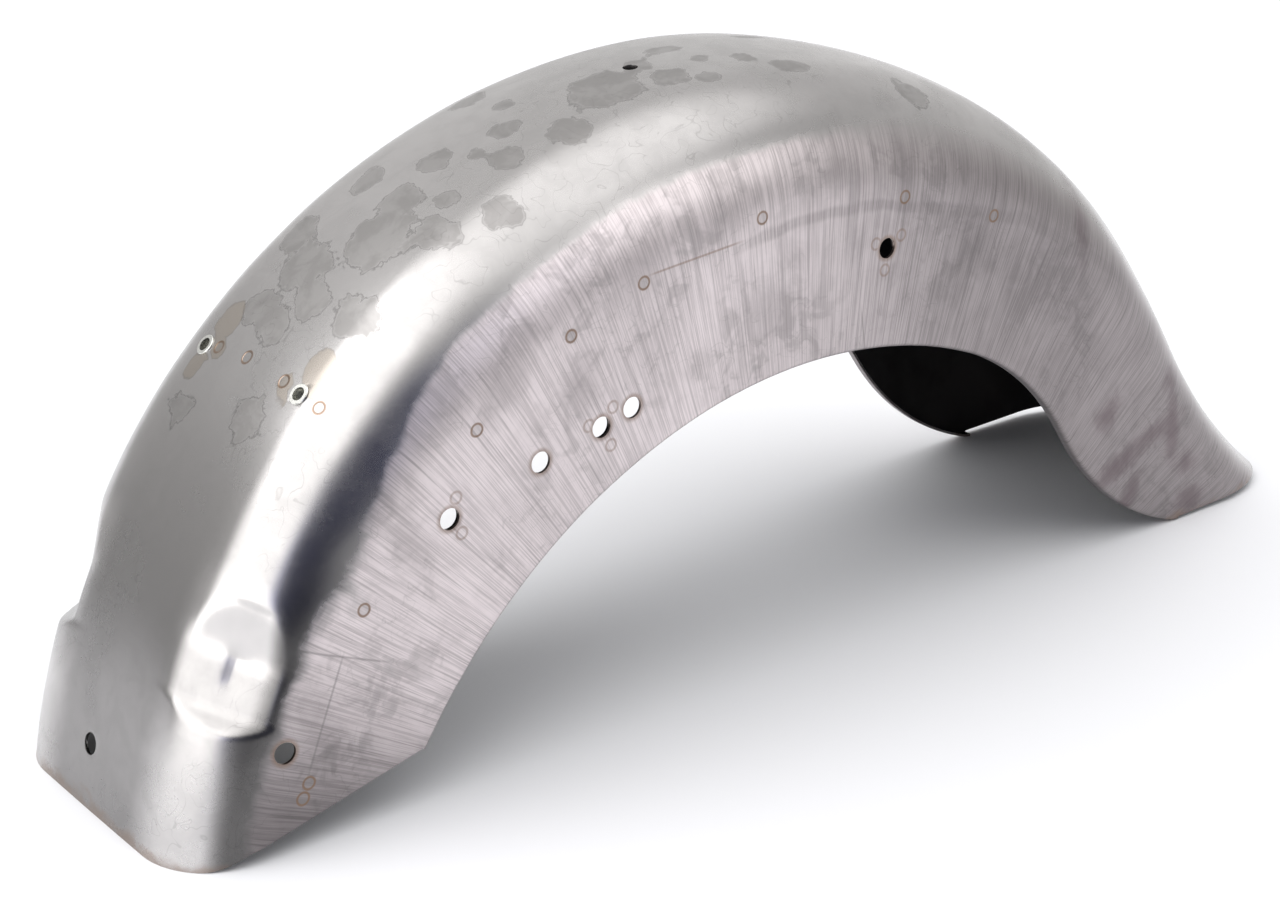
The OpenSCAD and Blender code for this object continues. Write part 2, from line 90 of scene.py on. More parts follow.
class FenderSheetSizes(PropertyGroup):
    """Shape of the pressed sheet, with the same values as the solid."""

    thickness: length("Sheet thickness", "Thickness of the pressed sheet", 0.0015)
    width: length("Width", "Overall width across the side walls", 0.176)
    lip_width: length("Lip width", "Width of the lip along the wheel arch", 0.006)
    lip_bend: length("Lip bend", "Outer bend radius of the lip", 0.0022)
    front_heading: turn("Front slope", "Slope of the crown at its front edge", 80)
    front_leg_radius: length("Front leg radius", "Radius of the front leg", 0.41)
    front_leg_end: turn("Front leg end", "Slope where the front leg ends", 59.5)
    crown_radius: length("Crown radius", "Radius of the main crown arc", 0.35)
    crown_end: turn("Crown end", "Slope where the main crown arc ends", -51.5)
    tail_leg_radius: length("Tail leg radius", "Radius of the tail leg", 0.9)
    tail_leg_end: turn("Tail leg end", "Slope where the tail leg ends", -56.5)
    tail_flip_radius: length("Tail flip radius", "Radius of the flipped tail", 0.405)
    front_shoulder: length("Front shoulder", "Shoulder radius at the front edge", 0.04)
    top_shoulder: length("Top shoulder", "Shoulder radius at the top", 0.06)
    tail_shoulder: length("Tail shoulder", "Shoulder radius at the tail", 0.037)
    front_dome: turn("Front dome", "Angle where crown meets shoulder at the front", 0.5)
    top_dome: turn("Top dome", "Angle where crown meets shoulder at the top", 10)
    tail_dome: turn("Tail dome", "Angle where crown meets shoulder at the tail", 20)
    front_cut: turn("Front cut", "Rise of the front cut along the walls", 12.8)
    front_cut_at: length("Front cut start", "Where the front cut meets the ground", 0.0039)
    nose_level: length("Level nose", "Length of the nose that stays level", 0.008)
    nose_rise: length("Nose rise", "Length over which the front cut rises", 0.028)
    tail_cut: turn("Tail cut", "Rise of the tail cut behind the lobes", 2.9)
    tail_lift: length("Tail lift", "Height of the tail cut where the lip ends", 0.001)
    arch_x: length("Arch centre", "From the front edge to the arch centre", 0.3696)
    arch_drop: length("Arch centre drop", "Depth of the arch centre below the ground", 0.1176)
    arch_radius: length("Arch radius", "Radius of the wheel arch", 0.283)
    arch_end: turn("Arch end", "Slope where the wheel arch tightens", -21.5)
    arch_tight: length("Tight arch radius", "Radius above the lobe", 0.17)
    lobe_slope: turn("Lobe slope", "Slope of the lobe's straight flank", -55)
    lobe_flank: length("Lobe flank", "Length of the lobe's straight flank", 0.015)
    lobe_foot: length("Lobe foot", "Radius of the foot of the lobe", 0.02)
    dent_depth: length("Dent depth", "Depth of the flat pressed into each shoulder", 0.008)
    dent_tilt: turn("Dent tilt", "Tilt of the flat away from the crown", 36)
    dent_low: length("Dent start", "Station of the lower end of the flat", 0.079)
    dent_high: length("Dent end", "Station of the upper end of the flat", 0.101)
    dent_low_ramp: length("Dent start ramp", "Ramp at the lower end of the flat", 0.012)
    dent_high_ramp: length("Dent end ramp", "Ramp at the upper end of the flat", 0.04)
    bolt_hole: length("Bolt hole", "Diameter of the bolt holes", 0.0105)
    insert_hole: length("Insert hole", "Diameter of the holes for the inserts", 0.008)
    seat_hole: length("Seat screw hole", "Diameter of the seat screw hole", 0.0075)
    ripple: length("Ripple", "Height of the slow ripple of hand-worked sheet", 0.0003)


class FenderFinish(PropertyGroup):
    """Colours and roughness of the bare metal."""

    steel: colour("Steel", "Bare steel of the crown", (0.52, 0.505, 0.50))
    wall_steel: colour("Ground steel", "Ground steel of the side walls", (0.50, 0.455, 0.460))
    patch: colour("Dull patch", "Dull darker patches on the crown", (0.25, 0.24, 0.235))
    smudge: colour("Smudge", "Purple-brown smudges on the lobes", (0.20, 0.15, 0.165))
    tan_stain: colour("Tan stain", "Tan stains beside the inserts", (0.38, 0.31, 0.23))
    rust: colour("Rust", "Thin rust rings and lines", (0.22, 0.14, 0.09))
    # Painted shade: the inner steel is steel darkened far below bare steel, standing for the shade
    # inside the fender.
    inner_steel: colour("Inner steel", "Steel inside the fender", (0.055, 0.052, 0.052))
    zinc: colour("Zinc", "Bright zinc of the inserts", (0.80, 0.80, 0.76))
    crown_roughness: share("Crown roughness", "Roughness of the crown", 0.23)
    wall_roughness: share("Wall roughness", "Roughness of the ground walls", 0.36)


class FenderStudio(PropertyGroup):
    """Camera and lights."""

    lens: FloatProperty(
        name="Lens", description="Focal length in millimetres", default=68.37, min=10.0
    )
    table: colour("Table", "Pale table under the fender", (0.73, 0.735, 0.755))
    key: FloatProperty(
        name="Softbox", description="Power of the softbox behind the nose", default=7.0, min=0.0,
        unit="POWER",
    )
    screen: FloatProperty(
        name="Screen", description="Brightness of the large bright screen", default=1.9, min=0.0
    )
    sky: FloatProperty(name="Room", description="Brightness of the room", default=1.0, min=0.0)


# Curves of the fender, in millimetres, with the front edge at x = 0

# Slope where the crown curve runs out, past the tail cut.
TAIL_END = math.radians(-34)
# The cross section changes up to this share of the flipped tail.
SECTION_END = 0.90985
# Slope where the foot of the lobe starts to level out.
FOOT_START = math.radians(-18)
# A radius that is as good as a straight.
STRAIGHT = 1e6
# Half the width of the soft border of the dent's flat.
DENT_BORDER = 2.5
# Halvings that bring a line of the section onto a cut.
HALVINGS = 30

# Holes in the side walls as (station, drop below the crown).
SIDE_HOLES = {
    "lower_front": (66.0, 38.3),
    "front_strut": (208.7, 73.7),
    "rear_strut": (586.1, 87.6),
}
# Holes in the side walls as (station, height above the wheel arch).
ARCH_HOLES = {
    "upper_plain": (270.6, 40.7),
    "middle_strut": (318.8, 31.0),
    "lower_plain": (346.3, 28.4),
}
# Holes in the crown as (station, across). The inserts lie on both sides.
CROWN_HOLE = (30.5, 8.8)
SEAT_HOLE = (465.2, -8.6)
INSERTS = (221.0, 41.25)


def ease(t):
    """Smooth step from 0 to 1."""
    t = np.clip(t, 0.0, 1.0)
    return t * t * (3.0 - 2.0 * t)


class TangentArcs:
    """A curve in the side view made of arcs that run into each other."""

    def __init__(self, start, heading, arcs):
        self.at, self.start, self.heading, self.radius = [], [], [], []
        x, z = start
        along = 0.0
        for radius, end in arcs:
            self.at.append(along)
            self.start.append((x, z))
            self.heading.append(heading)
            self.radius.append(radius)
            along += (heading - end) * radius
            x += radius * (math.sin(heading) - math.sin(end))
            z += radius * (math.cos(end) - math.cos(heading))
            heading = end
        self.length = along
        self.end = (x, z)
        self.at = np.array(self.at)
        self.start = np.array(self.start)
        self.heading = np.array(self.heading)
        self.radius = np.array(self.radius)

    def place(self, along):
        """(x, z, heading) at each length along the curve."""
        along = np.asarray(along, dtype=float)
        leg = np.clip(np.searchsorted(self.at, along, side="right") - 1, 0, len(self.at) - 1)
        h0, r = self.heading[leg], self.radius[leg]
        h = h0 - (along - self.at[leg]) / r
        x = self.start[leg, 0] + r * (np.sin(h0) - np.sin(h))
        z = self.start[leg, 1] + r * (np.cos(h) - np.cos(h0))
        return x, z, h


class FenderForm:
    """Every curve of the pressed sheet, worked out from the sizes."""

    def __init__(self, sizes):
        for name in sizes.bl_rna.properties.keys():
            if name in {"rna_type", "name"}:
                continue
            value = getattr(sizes, name)
            is_length = sizes.bl_rna.properties[name].unit == "LENGTH"
            setattr(self, name, value * 1000.0 if is_length else value)
        self.work_out()

    def work_out(self):
        """The crown, the arch and the trimmed ends."""
        self.half = self.width / 2
        self.crown = TangentArcs(
            (0.0, 0.0),
            self.front_heading,
            [
                (self.front_leg_radius, self.front_leg_end),
                (self.crown_radius, self.crown_end),
                (self.tail_leg_radius, self.tail_leg_end),
                (-self.tail_flip_radius, TAIL_END),
            ],
        )
        self.top_at = self.crown.at[1] + self.front_leg_end * self.crown_radius
        self.tail_leg_at = self.crown.at[2]
        flip_at = self.crown.at[3]
        self.section_end = flip_at + SECTION_END * (self.crown.length - flip_at)
        self.work_out_arch()
        self.crown_length = float(self.tail_trim(np.array([0.0]), 0.0)[0])
        tip, _, _ = self.crown.place(self.crown_length)
        self.shift = -float(tip) / 2

    def work_out_arch(self):
        """The wheel arch, from the front cut to the foot of the lobe."""
        slope = math.tan(self.front_cut)
        drop = self.arch_drop - slope * self.front_cut_at
        a = 1 + slope * slope
        b = slope * drop - self.arch_x
        c = self.arch_x**2 + drop**2 - self.arch_radius**2
        x = (-b - math.sqrt(b * b - a * c)) / a
        z = slope * (x - self.front_cut_at)
        heading = math.atan2(self.arch_x - x, z + self.arch_drop)
        flank_end_heading = self.lobe_slope - self.lobe_flank / STRAIGHT
        upper = [
            (self.arch_radius, self.arch_end),
            (self.arch_tight, self.lobe_slope),
            (STRAIGHT, flank_end_heading),
        ]
        flank_end = TangentArcs((x, z), heading, upper).end
        foot_drop = self.lobe_foot * (1 - math.cos(FOOT_START))
        lobe = (flank_end[1] - foot_drop) / (math.cos(FOOT_START) - math.cos(self.lobe_slope))
        self.arch = TangentArcs(
            (x, z), heading, upper + [(-lobe, FOOT_START), (-self.lobe_foot, 0.0)]
        )
        self.arch_top_at = self.arch_radius * heading
        self.lobe_end = self.arch.end

    def blend(self, along, front, top, tail):
        """A section value, from the front over the top to the tail."""
        to_top = ease(along / self.top_at)
        to_tail = ease((along - self.top_at) / (self.section_end - self.top_at))
        return front + (top - front) * to_top + (tail - top) * to_tail

    def shoulder(self, along):
        """(shoulder radius, dome edge angle, half width of the dome)."""
        radius = self.blend(along, self.front_shoulder, self.top_shoulder, self.tail_shoulder)
        edge = self.blend(along, self.front_dome, self.top_dome, self.tail_dome)
        return radius, edge, self.half - radius

    def section(self, along, reach, inset):
        """Sideways place and drop; reach runs 0 to 1 over the dome and to 2 round the shoulder."""
        radius, edge, flat = self.shoulder(along)
        dome = flat / np.sin(edge) + radius
        on_dome = reach <= 1
        a = np.where(on_dome, edge * reach, edge + (math.pi / 2 - edge) * (reach - 1))
        across = np.where(
            on_dome, (dome - inset) * np.sin(a), flat + (radius - inset) * np.sin(a)
        )
        drop = np.where(
            on_dome,
            dome * (1 - np.cos(a)) + inset * np.cos(a),
            flat * np.tan(edge / 2) + radius - (radius - inset) * np.cos(a),
        )
        return self.pressed(along, across, drop, inset)

    def pressed(self, along, across, drop, inset):
        """The section with the flat of the dent pressed in."""
        radius, _, flat = self.shoulder(along)
        tilt = self.dent_tilt
        depth = ease((along - self.dent_low + self.dent_low_ramp) / self.dent_low_ramp)
        depth = depth * ease((self.dent_high + self.dent_high_ramp - along) / self.dent_high_ramp)
        level = flat * math.sin(tilt) + radius * (1 - math.cos(tilt)) - inset
        over = across * math.sin(tilt) - drop * math.cos(tilt) - level + self.dent_depth * depth
        soft = DENT_BORDER
        push = np.where(
            over <= -soft, 0.0, np.where(over >= soft, over, (over + soft) ** 2 / (4 * soft))
        )
        push = push * np.minimum(1.0, depth * 4)
        return across - push * math.sin(tilt), drop + push * math.cos(tilt)

    def side_point(self, along, drop):
        """(x, z) at a station and a drop."""
        x, z, h = self.crown.place(along)
        return x + drop * np.sin(h), z - drop * np.cos(h)

    def over_front(self, x, z):
        """Height over the front cut."""
        line = math.tan(self.front_cut) * (x - self.front_cut_at)
        return z - line * ease((x - self.nose_level) / self.nose_rise)

    def over_tail(self, x, z):
        """Height over the tail cut."""
        return z - self.tail_lift - math.tan(self.tail_cut) * (x - self.lobe_end[0])

    def front_trim(self, reach, inset):
        """Station where each line of the section meets the front cut."""
        low, high = np.zeros_like(reach), np.full_like(reach, 80.0)
        for _ in range(HALVINGS):
            mid = (low + high) / 2
            _, drop = self.section(mid, reach, inset)
            below = self.over_front(*self.side_point(mid, drop)) < 0
            low, high = np.where(below, mid, low), np.where(below, high, mid)
        return (low + high) / 2

    def tail_trim(self, reach, inset):
        """Station where each line of the section meets the tail cut."""
        low, high = np.full_like(reach, 800.0), np.full_like(reach, 1150.0)
        for _ in range(HALVINGS):
            mid = (low + high) / 2
            _, drop = self.section(mid, reach, inset)
            above = self.over_tail(*self.side_point(mid, drop)) > 0
            low, high = np.where(above, mid, low), np.where(above, high, mid)
        return (low + high) / 2

    def arch_at(self, along):
        """Length along the arch that belongs to a station."""
        return np.interp(
            along,
            [0.0, self.top_at, self.tail_leg_at, self.crown_length],
            [0.0, self.arch_top_at, self.arch.at[2], self.arch.length],
        )

    def drop_over_arch(self, along, up):
        """Drop at a station of a place that lies a height above the wheel arch."""
        x, z, h = self.crown.place(along)
        x, z = float(x) - self.arch_x, float(z) + self.arch_drop
        into = x * math.sin(h) - z * math.cos(h)
        return -into - math.sqrt(into * into - x * x - z * z + (self.arch_radius + up) ** 2)

    def wall_holes(self):
        """Side places (x, z) of the bolt holes in a wall."""
        drops = dict(SIDE_HOLES)
        for name, (along, up) in ARCH_HOLES.items():
            drops[name] = (along, self.drop_over_arch(along, up))
        return {name: self.side_point(*place) for name, place in drops.items()}

    def crown_place(self, along, across):
        """Point on the outer face, its normal and the direction along the fender, in metres."""
        radius, edge, flat = self.shoulder(along)
        dome = flat / math.sin(edge) + radius
        side = math.copysign(1.0, across)
        if abs(across) <= dome * math.sin(edge):
            a = math.asin(across / dome)
            drop = dome * (1 - math.cos(a))
        else:
            a = side * math.asin(min(1.0, (abs(across) - flat) / radius))
            drop = flat * math.tan(edge / 2) + radius * (1 - math.cos(a))
        x, z = self.side_point(along, drop)
        _, _, h = self.crown.place(along)
        normal = Vector((-math.sin(h) * math.cos(a), math.sin(a), math.cos(h) * math.cos(a)))
        tangent = Vector((math.cos(h), 0.0, math.sin(h)))
        point = Vector((float(x) + self.shift, across, float(z))) / 1000
        return point, normal, tangent

    def wall_place(self, x, z, side):
        """Point on a side wall, its normal and its forward direction, in metres."""
        point = Vector((x + self.shift, side * self.half, z)) / 1000
        return point, Vector((0.0, side, 0.0)), Vector((1.0, 0.0, 0.0))

    def wall_points(self, places):
        """Points on the right-hand wall at side places (x, z), in metres."""
        return [self.wall_place(float(x), float(z), 1)[0] for x, z in places]


# Mesh of the pressed sheet

# Stretch of the crown, in millimetres, where the mesh is fine enough for the dent.
FINE_STRETCH = (62.0, 146.0)
# Rows of the mesh before, in and after that stretch.
ROWS = (22, 66, 210)
# Columns over the half dome, round the shoulder, down the wall, round the bend and on the lip.
DOME_COLUMNS = 7
SHOULDER_COLUMNS = 25
WALL_COLUMNS = 13
BEND_COLUMNS = 5
LIP_COLUMNS = 3
# Length, in millimetres, over which the rows turn to meet the slanting tail cut.
TAIL_TURN = 220.0
# The rows turn to meet the front cut up to this length before the dent.
FRONT_TURN = 4.0
# Rows and columns at the border of the mesh where the ripple fades out.
RIPPLE_ROWS = 8.0
RIPPLE_COLUMNS = 9.0
# The groove pressed into each dent as (station, across, half length, half width, depth).
GROOVE = (97.0, 67.0, 9.5, 3.4, 1.3)
# The soft hollow after each dent, given in the same way.
HOLLOW = (158.0, 86.0, 17.0, 9.0, 0.9)
# Depth of the drilling cylinders, in millimetres, and their number of sides.
DRILL_DEPTH = 7.0
DRILL_SIDES = 64
# Rounding of the sheet's edges, in metres.
EDGE_ROUNDING = 0.00022
# Corners sharper than this, in degrees, are rounded, and those above the second stay creased.
ROUNDED_ABOVE = 50
CREASED_ABOVE = 38


def sheet_stations(form):
    """Stations of the mesh, close together over the dent."""
    stops = (0.0, *FINE_STRETCH, form.crown_length)
    runs = [np.linspace(a, b, rows)[:-1] for a, b, rows in zip(stops, stops[1:], ROWS)]
    return np.append(np.concatenate(runs), form.crown_length)


def sheet_layer(form, stations, inset):
    """Half of one skin as a grid of points, from the crown middle to the end of the lip."""
    dome, shoulder = np.linspace(0, 1, DOME_COLUMNS), np.linspace(1, 2, SHOULDER_COLUMNS)
    reach = np.concatenate([dome, shoulder[1:]])
    front = form.front_trim(reach, inset)
    tail = form.crown_length - form.tail_trim(reach, inset)
    front_blend = form.dent_low - form.dent_low_ramp - FRONT_TURN
    near_front = np.maximum(0, 1 - stations / front_blend)[:, None]
    near_tail = np.maximum(0, 1 - (form.crown_length - stations) / TAIL_TURN)[:, None]
    at = stations[:, None] + front * near_front - tail * near_tail
    across, drop = form.section(at, reach[None, :], inset)
    x, z = form.side_point(at, drop)
    crown = np.stack([x, across, z], axis=-1)

    ax, az, h = form.arch.place(form.arch_at(stations))
    bend = np.radians(np.linspace(0, 90, BEND_COLUMNS))[None, :]
    radius = form.lip_bend - inset
    back = form.lip_bend - radius * np.sin(bend)
    ex = ax[:, None] - np.sin(h)[:, None] * back
    ez = az[:, None] + np.cos(h)[:, None] * back
    ey = np.broadcast_to(form.half - form.lip_bend + radius * np.cos(bend), ex.shape)
    edge = np.stack([ex, ey, ez], axis=-1)
    lip = edge[:, -1:].repeat(LIP_COLUMNS - 1, axis=1)
    lip[:, :, 1] = np.linspace(lip[0, 0, 1], form.half - form.lip_width, LIP_COLUMNS)[1:]

    steps = np.linspace(0, 1, WALL_COLUMNS)[1:-1][None, :, None]
    wall = crown[:, -1:] + (edge[:, :1] - crown[:, -1:]) * steps
    return np.concatenate([crown, wall, edge, lip], axis=1)


def worked_sheet(form, outer, inner):
    """Moves both skins along the normal: slow ripples, the groove in the dent and the hollow."""
    normal = outer - inner
    normal /= np.linalg.norm(normal, axis=-1, keepdims=True)
    rows, columns = outer.shape[:2]
    move = np.zeros((rows, columns))
    for i in range(rows):
        for j in range(columns):
            x, y, z = outer[i, j]
            slow = noise.noise(Vector((x * 0.011, y * 0.016, z * 0.011)))
            quick = noise.noise(Vector((x * 0.03 + 7, y * 0.03, z * 0.03 + 3)))
            move[i, j] = form.ripple * (1.6 * slow + 0.7 * quick)
    rim = np.minimum(1.0, np.arange(columns)[::-1] / RIPPLE_COLUMNS)[None, :]
    ends = np.minimum(np.arange(rows), np.arange(rows)[::-1]) / RIPPLE_ROWS
    move *= ease(rim) * ease(ends)[:, None]

    x, y, z = np.moveaxis(outer, -1, 0)

    def from_middle(station, across):
        point, _, tangent = form.crown_place(station, across)
        return x + form.shift - point.x * 1000, y - across, z - point.z * 1000, tangent

    station, across, long, wide, depth = GROOVE
    dx, dy, dz, tangent = from_middle(station, across)
    groove = (dx * tangent.x + dz * tangent.z) / long
    move -= depth * np.exp(-(groove**4) - (dy / wide) ** 2)
    station, across, long, wide, depth = HOLLOW
    dx, dy, dz, _ = from_middle(station, across)
    move -= depth * np.exp(-(dx**2 + dz**2) / long**2 - (dy / wide) ** 2)
    return outer + normal * move[..., None], inner + normal * move[..., None]


def sheet_mesh(form, name):
    """Closed mesh of the whole sheet, mirrored about the middle."""
    stations = sheet_stations(form)
    outer = sheet_layer(form, stations, 0.0)
    inner = sheet_layer(form, stations, form.thickness)
    outer, inner = worked_sheet(form, outer, inner)
    mirror = np.array([1.0, -1.0, 1.0])
    rings = np.concatenate(
        [outer[:, :0:-1] * mirror, outer, inner[:, :0:-1], inner * mirror], axis=1
    )
    rows, size, _ = rings.shape
    arm = 2 * (outer.shape[1] - 1)
    points = rings.reshape(-1, 3)
    points = (points + np.array([form.shift, 0, 0])) / 1000
    faces, inside = [], []
    for i in range(rows - 1):
        for j in range(size):
            k = (j + 1) % size
            a, b = i * size, (i + 1) * size
            faces.append((a + j, b + j, b + k, a + k))
            inside.append(1 if arm < j < size - 1 else 0)
    for a, order in ((0, 1), ((rows - 1) * size, -1)):
        for j in range(arm):
            quad = (a + j, a + j + 1, a + size - 2 - j, a + size - 1 - j)
            faces.append(quad[::order])
            inside.append(0)
    mesh = bpy.data.meshes.new(name)
    mesh.from_pydata(points.tolist(), [], faces)
    mesh.polygons.foreach_set("material_index", inside)
    mesh.validate()
    return mesh


def cutter_mesh(form, name):
    """One mesh with a cylinder for each hole."""
    bm = bmesh.new()

    def drill(place, diameter):
        point, axis, _ = place
        turned = Vector((0, 0, 1)).rotation_difference(axis).to_matrix().to_4x4()
        bmesh.ops.create_cone(
            bm, cap_ends=True, segments=DRILL_SIDES, radius1=diameter / 2000,
            radius2=diameter / 2000, depth=DRILL_DEPTH / 1000,
            matrix=Matrix.Translation(point) @ turned,
        )

    for x, z in form.wall_holes().values():
        for side in (-1, 1):
            drill(form.wall_place(float(x), float(z), side), form.bolt_hole)
    drill(form.crown_place(*CROWN_HOLE), form.bolt_hole)
    drill(form.crown_place(*SEAT_HOLE), form.seat_hole)
    for side in (-1, 1):
        drill(form.crown_place(INSERTS[0], side * INSERTS[1]), form.insert_hole)
    mesh = bpy.data.meshes.new(name)
    bm.to_mesh(mesh)
    bm.free()
    return mesh


def link(name, mesh):
    """A new object in the scene."""
    piece = bpy.data.objects.new(name, mesh)
    bpy.context.scene.collection.objects.link(piece)
    return piece


def applied(piece):
    """Bakes the piece's modifiers into its mesh."""
    graph = bpy.context.evaluated_depsgraph_get()
    mesh = bpy.data.meshes.new_from_object(piece.evaluated_get(graph))
    old = piece.data
    piece.modifiers.clear()
    piece.data = mesh
    bpy.data.meshes.remove(old)


# Shader helpers


def wire(tree, value, socket):
    """Feeds a socket from another socket, or sets it to a plain value."""
    if isinstance(value, bpy.types.NodeSocket):
        tree.links.new(value, socket)
    else:
        socket.default_value = value


def maths(tree, operation, *values):
    """A Math node's result."""
    node = tree.nodes.new("ShaderNodeMath")
    node.operation = operation
    for value, socket in zip(values, node.inputs):
        wire(tree, value, socket)
    return node.outputs[0]


def times(tree, product, *others):
    """The product of all the values."""
    for value in others:
        product = maths(tree, "MULTIPLY", product, value)
    return product


def plus(tree, total, *others):
    """The sum of all the values."""
    for value in others:
        total = maths(tree, "ADD", total, value)
    return total


def minus(tree, value, less):
    """The first value less the second."""
    return maths(tree, "SUBTRACT", value, less)


def swing(tree, grain, amount):
    """A noise's swing about its middle value, times an amount."""
    return times(tree, minus(tree, grain, 0.5), amount)


def vector_maths(tree, operation, *values, output="Vector"):
    """A Vector Math node's result."""
    node = tree.nodes.new("ShaderNodeVectorMath")
    node.operation = operation
    for value, socket in zip(values, node.inputs):
        wire(tree, value, socket)
    return node.outputs[output]


def measured(tree, place, direction):
    """How far a place lies along a direction."""
    return vector_maths(tree, "DOT_PRODUCT", place, direction, output="Value")


def joined(tree, *values):
    """A vector from three values."""
    node = tree.nodes.new("ShaderNodeCombineXYZ")
    for value, socket in zip(values, node.inputs):
        wire(tree, value, socket)
    return node.outputs[0]


def ramp(tree, value, low, high, start=0.0, end=1.0, smooth=True):
    """A value mapped from low..high to start..end."""
    node = tree.nodes.new("ShaderNodeMapRange")
    node.interpolation_type = "SMOOTHSTEP" if smooth else "LINEAR"
    for v, name in ((value, "Value"), (low, "From Min"), (high, "From Max"),
                    (start, "To Min"), (end, "To Max")):
        wire(tree, v, node.inputs[name])
    return node.outputs["Result"]


def band(tree, value, middle, inner, outer):
    """1 where a value lies within inner of a middle value, fading to 0 at outer."""
    off = maths(tree, "ABSOLUTE", minus(tree, value, middle))
    return ramp(tree, off, inner, outer, 1.0, 0.0)


def grains(tree, place, scale, detail=3.0, roughness=0.5, distortion=0.0):
    """A noise texture's value."""
    node = tree.nodes.new("ShaderNodeTexNoise")
    wire(tree, place, node.inputs["Vector"])
    node.inputs["Scale"].default_value = scale
    node.inputs["Detail"].default_value = detail
    node.inputs["Roughness"].default_value = roughness
    node.inputs["Distortion"].default_value = distortion
    return node.outputs["Fac"]


def mixed(tree, amount, a, b):
    """A colour between a and b."""
    node = tree.nodes.new("ShaderNodeMix")
    node.data_type = "RGBA"
    wire(tree, amount, node.inputs["Factor"])
    for value, socket in ((a, node.inputs[6]), (b, node.inputs[7])):
        wire(tree, value if isinstance(value, bpy.types.NodeSocket) else (*value, 1.0), socket)
    return node.outputs[2]


def layered(tree, base, layers):
    """A colour under layers, each given as (amount, colour)."""
    for amount, tint in layers:
        base = mixed(tree, amount, base, tint)
    return base


def scaled(tint, level):
    """A colour at a share of its brightness."""
    return [v * level for v in tint]


def nearest(tree, place, points):
    """Distance from a place to the nearest of some points, in metres."""
    least = None
    for point in points:
        far = vector_maths(tree, "DISTANCE", place, tuple(point), output="Value")
        least = far if least is None else maths(tree, "MINIMUM", least, far)
    return least


def stored(tree, name):
    """A field stored on the sheet's points."""
    node = tree.nodes.new("ShaderNodeAttribute")
    node.attribute_type = "GEOMETRY"
    node.attribute_name = name
    return node.outputs["Fac"]


def new_material(name, metallic):
    """A new material with its node tree, its shader and its object coordinates."""
    material = bpy.data.materials.new(name)
    material.use_nodes = True
    tree = material.node_tree
    shader = tree.nodes["Principled BSDF"]
    shader.inputs["Metallic"].default_value = metallic
    return material, tree, shader, tree.nodes.new("ShaderNodeTexCoord").outputs["Object"]


def bumped(tree, shader, height, strength, distance):
    """Gives the shader a bump from a height."""
    bump = tree.nodes.new("ShaderNodeBump")
    bump.inputs["Strength"].default_value = strength
    bump.inputs["Distance"].default_value = distance
    tree.links.new(height, bump.inputs["Height"])
    tree.links.new(bump.outputs[0], shader.inputs["Normal"])


# Shader node groups


def new_group(name, inputs, outputs):
    """An empty shader node group with its sockets, and its inner input and output nodes."""
    group = bpy.data.node_groups.new(name, "ShaderNodeTree")
    for label, kind in inputs:
        group.interface.new_socket(label, in_out="INPUT", socket_type=kind)
    for label, kind in outputs:
        group.interface.new_socket(label, in_out="OUTPUT", socket_type=kind)
    return group, group.nodes.new("NodeGroupInput"), group.nodes.new("NodeGroupOutput")


def use_group(tree, group, **values):
    """The group placed in a material, with its inputs set; its first output."""
    node = tree.nodes.new("ShaderNodeGroup")
    node.node_tree = group
    for name, value in values.items():
        wire(tree, value, node.inputs[name.replace("_", " ").capitalize()])
    return node.outputs[0]


def brushing_group():
    """Fine lines left by grinding, long one way and close together the other way."""
    group, into, out = new_group(
        "fender_brushing",
        [("Place", "NodeSocketVector"), ("Turn", "NodeSocketVector"),
         ("Stretch", "NodeSocketVector")],
        [("Height", "NodeSocketFloat")],
    )
    place = group.nodes.new("ShaderNodeMapping")
    for label, inner in (("Place", "Vector"), ("Turn", "Rotation"), ("Stretch", "Scale")):
        group.links.new(into.outputs[label], place.inputs[inner])
    group.links.new(grains(group, place.outputs[0], 1.0, 2.0, 0.62), out.inputs["Height"])
    return group


def thin_line_group():
    """Thin curling lines where a slow noise crosses its middle value."""
    group, into, out = new_group(
        "fender_thin_lines",
        [("Place", "NodeSocketVector"), ("Stretch", "NodeSocketVector"),
         ("Line width", "NodeSocketFloat")],
        [("Line", "NodeSocketFloat")],
    )
    place = vector_maths(group, "MULTIPLY", into.outputs["Place"], into.outputs["Stretch"])
    slow = grains(group, place, 1.0, 1.0, 0.5, 0.6)
    group.links.new(band(group, slow, 0.5, 0.0, into.outputs["Line width"]), out.inputs["Line"])
    return group


# Marks on the steel

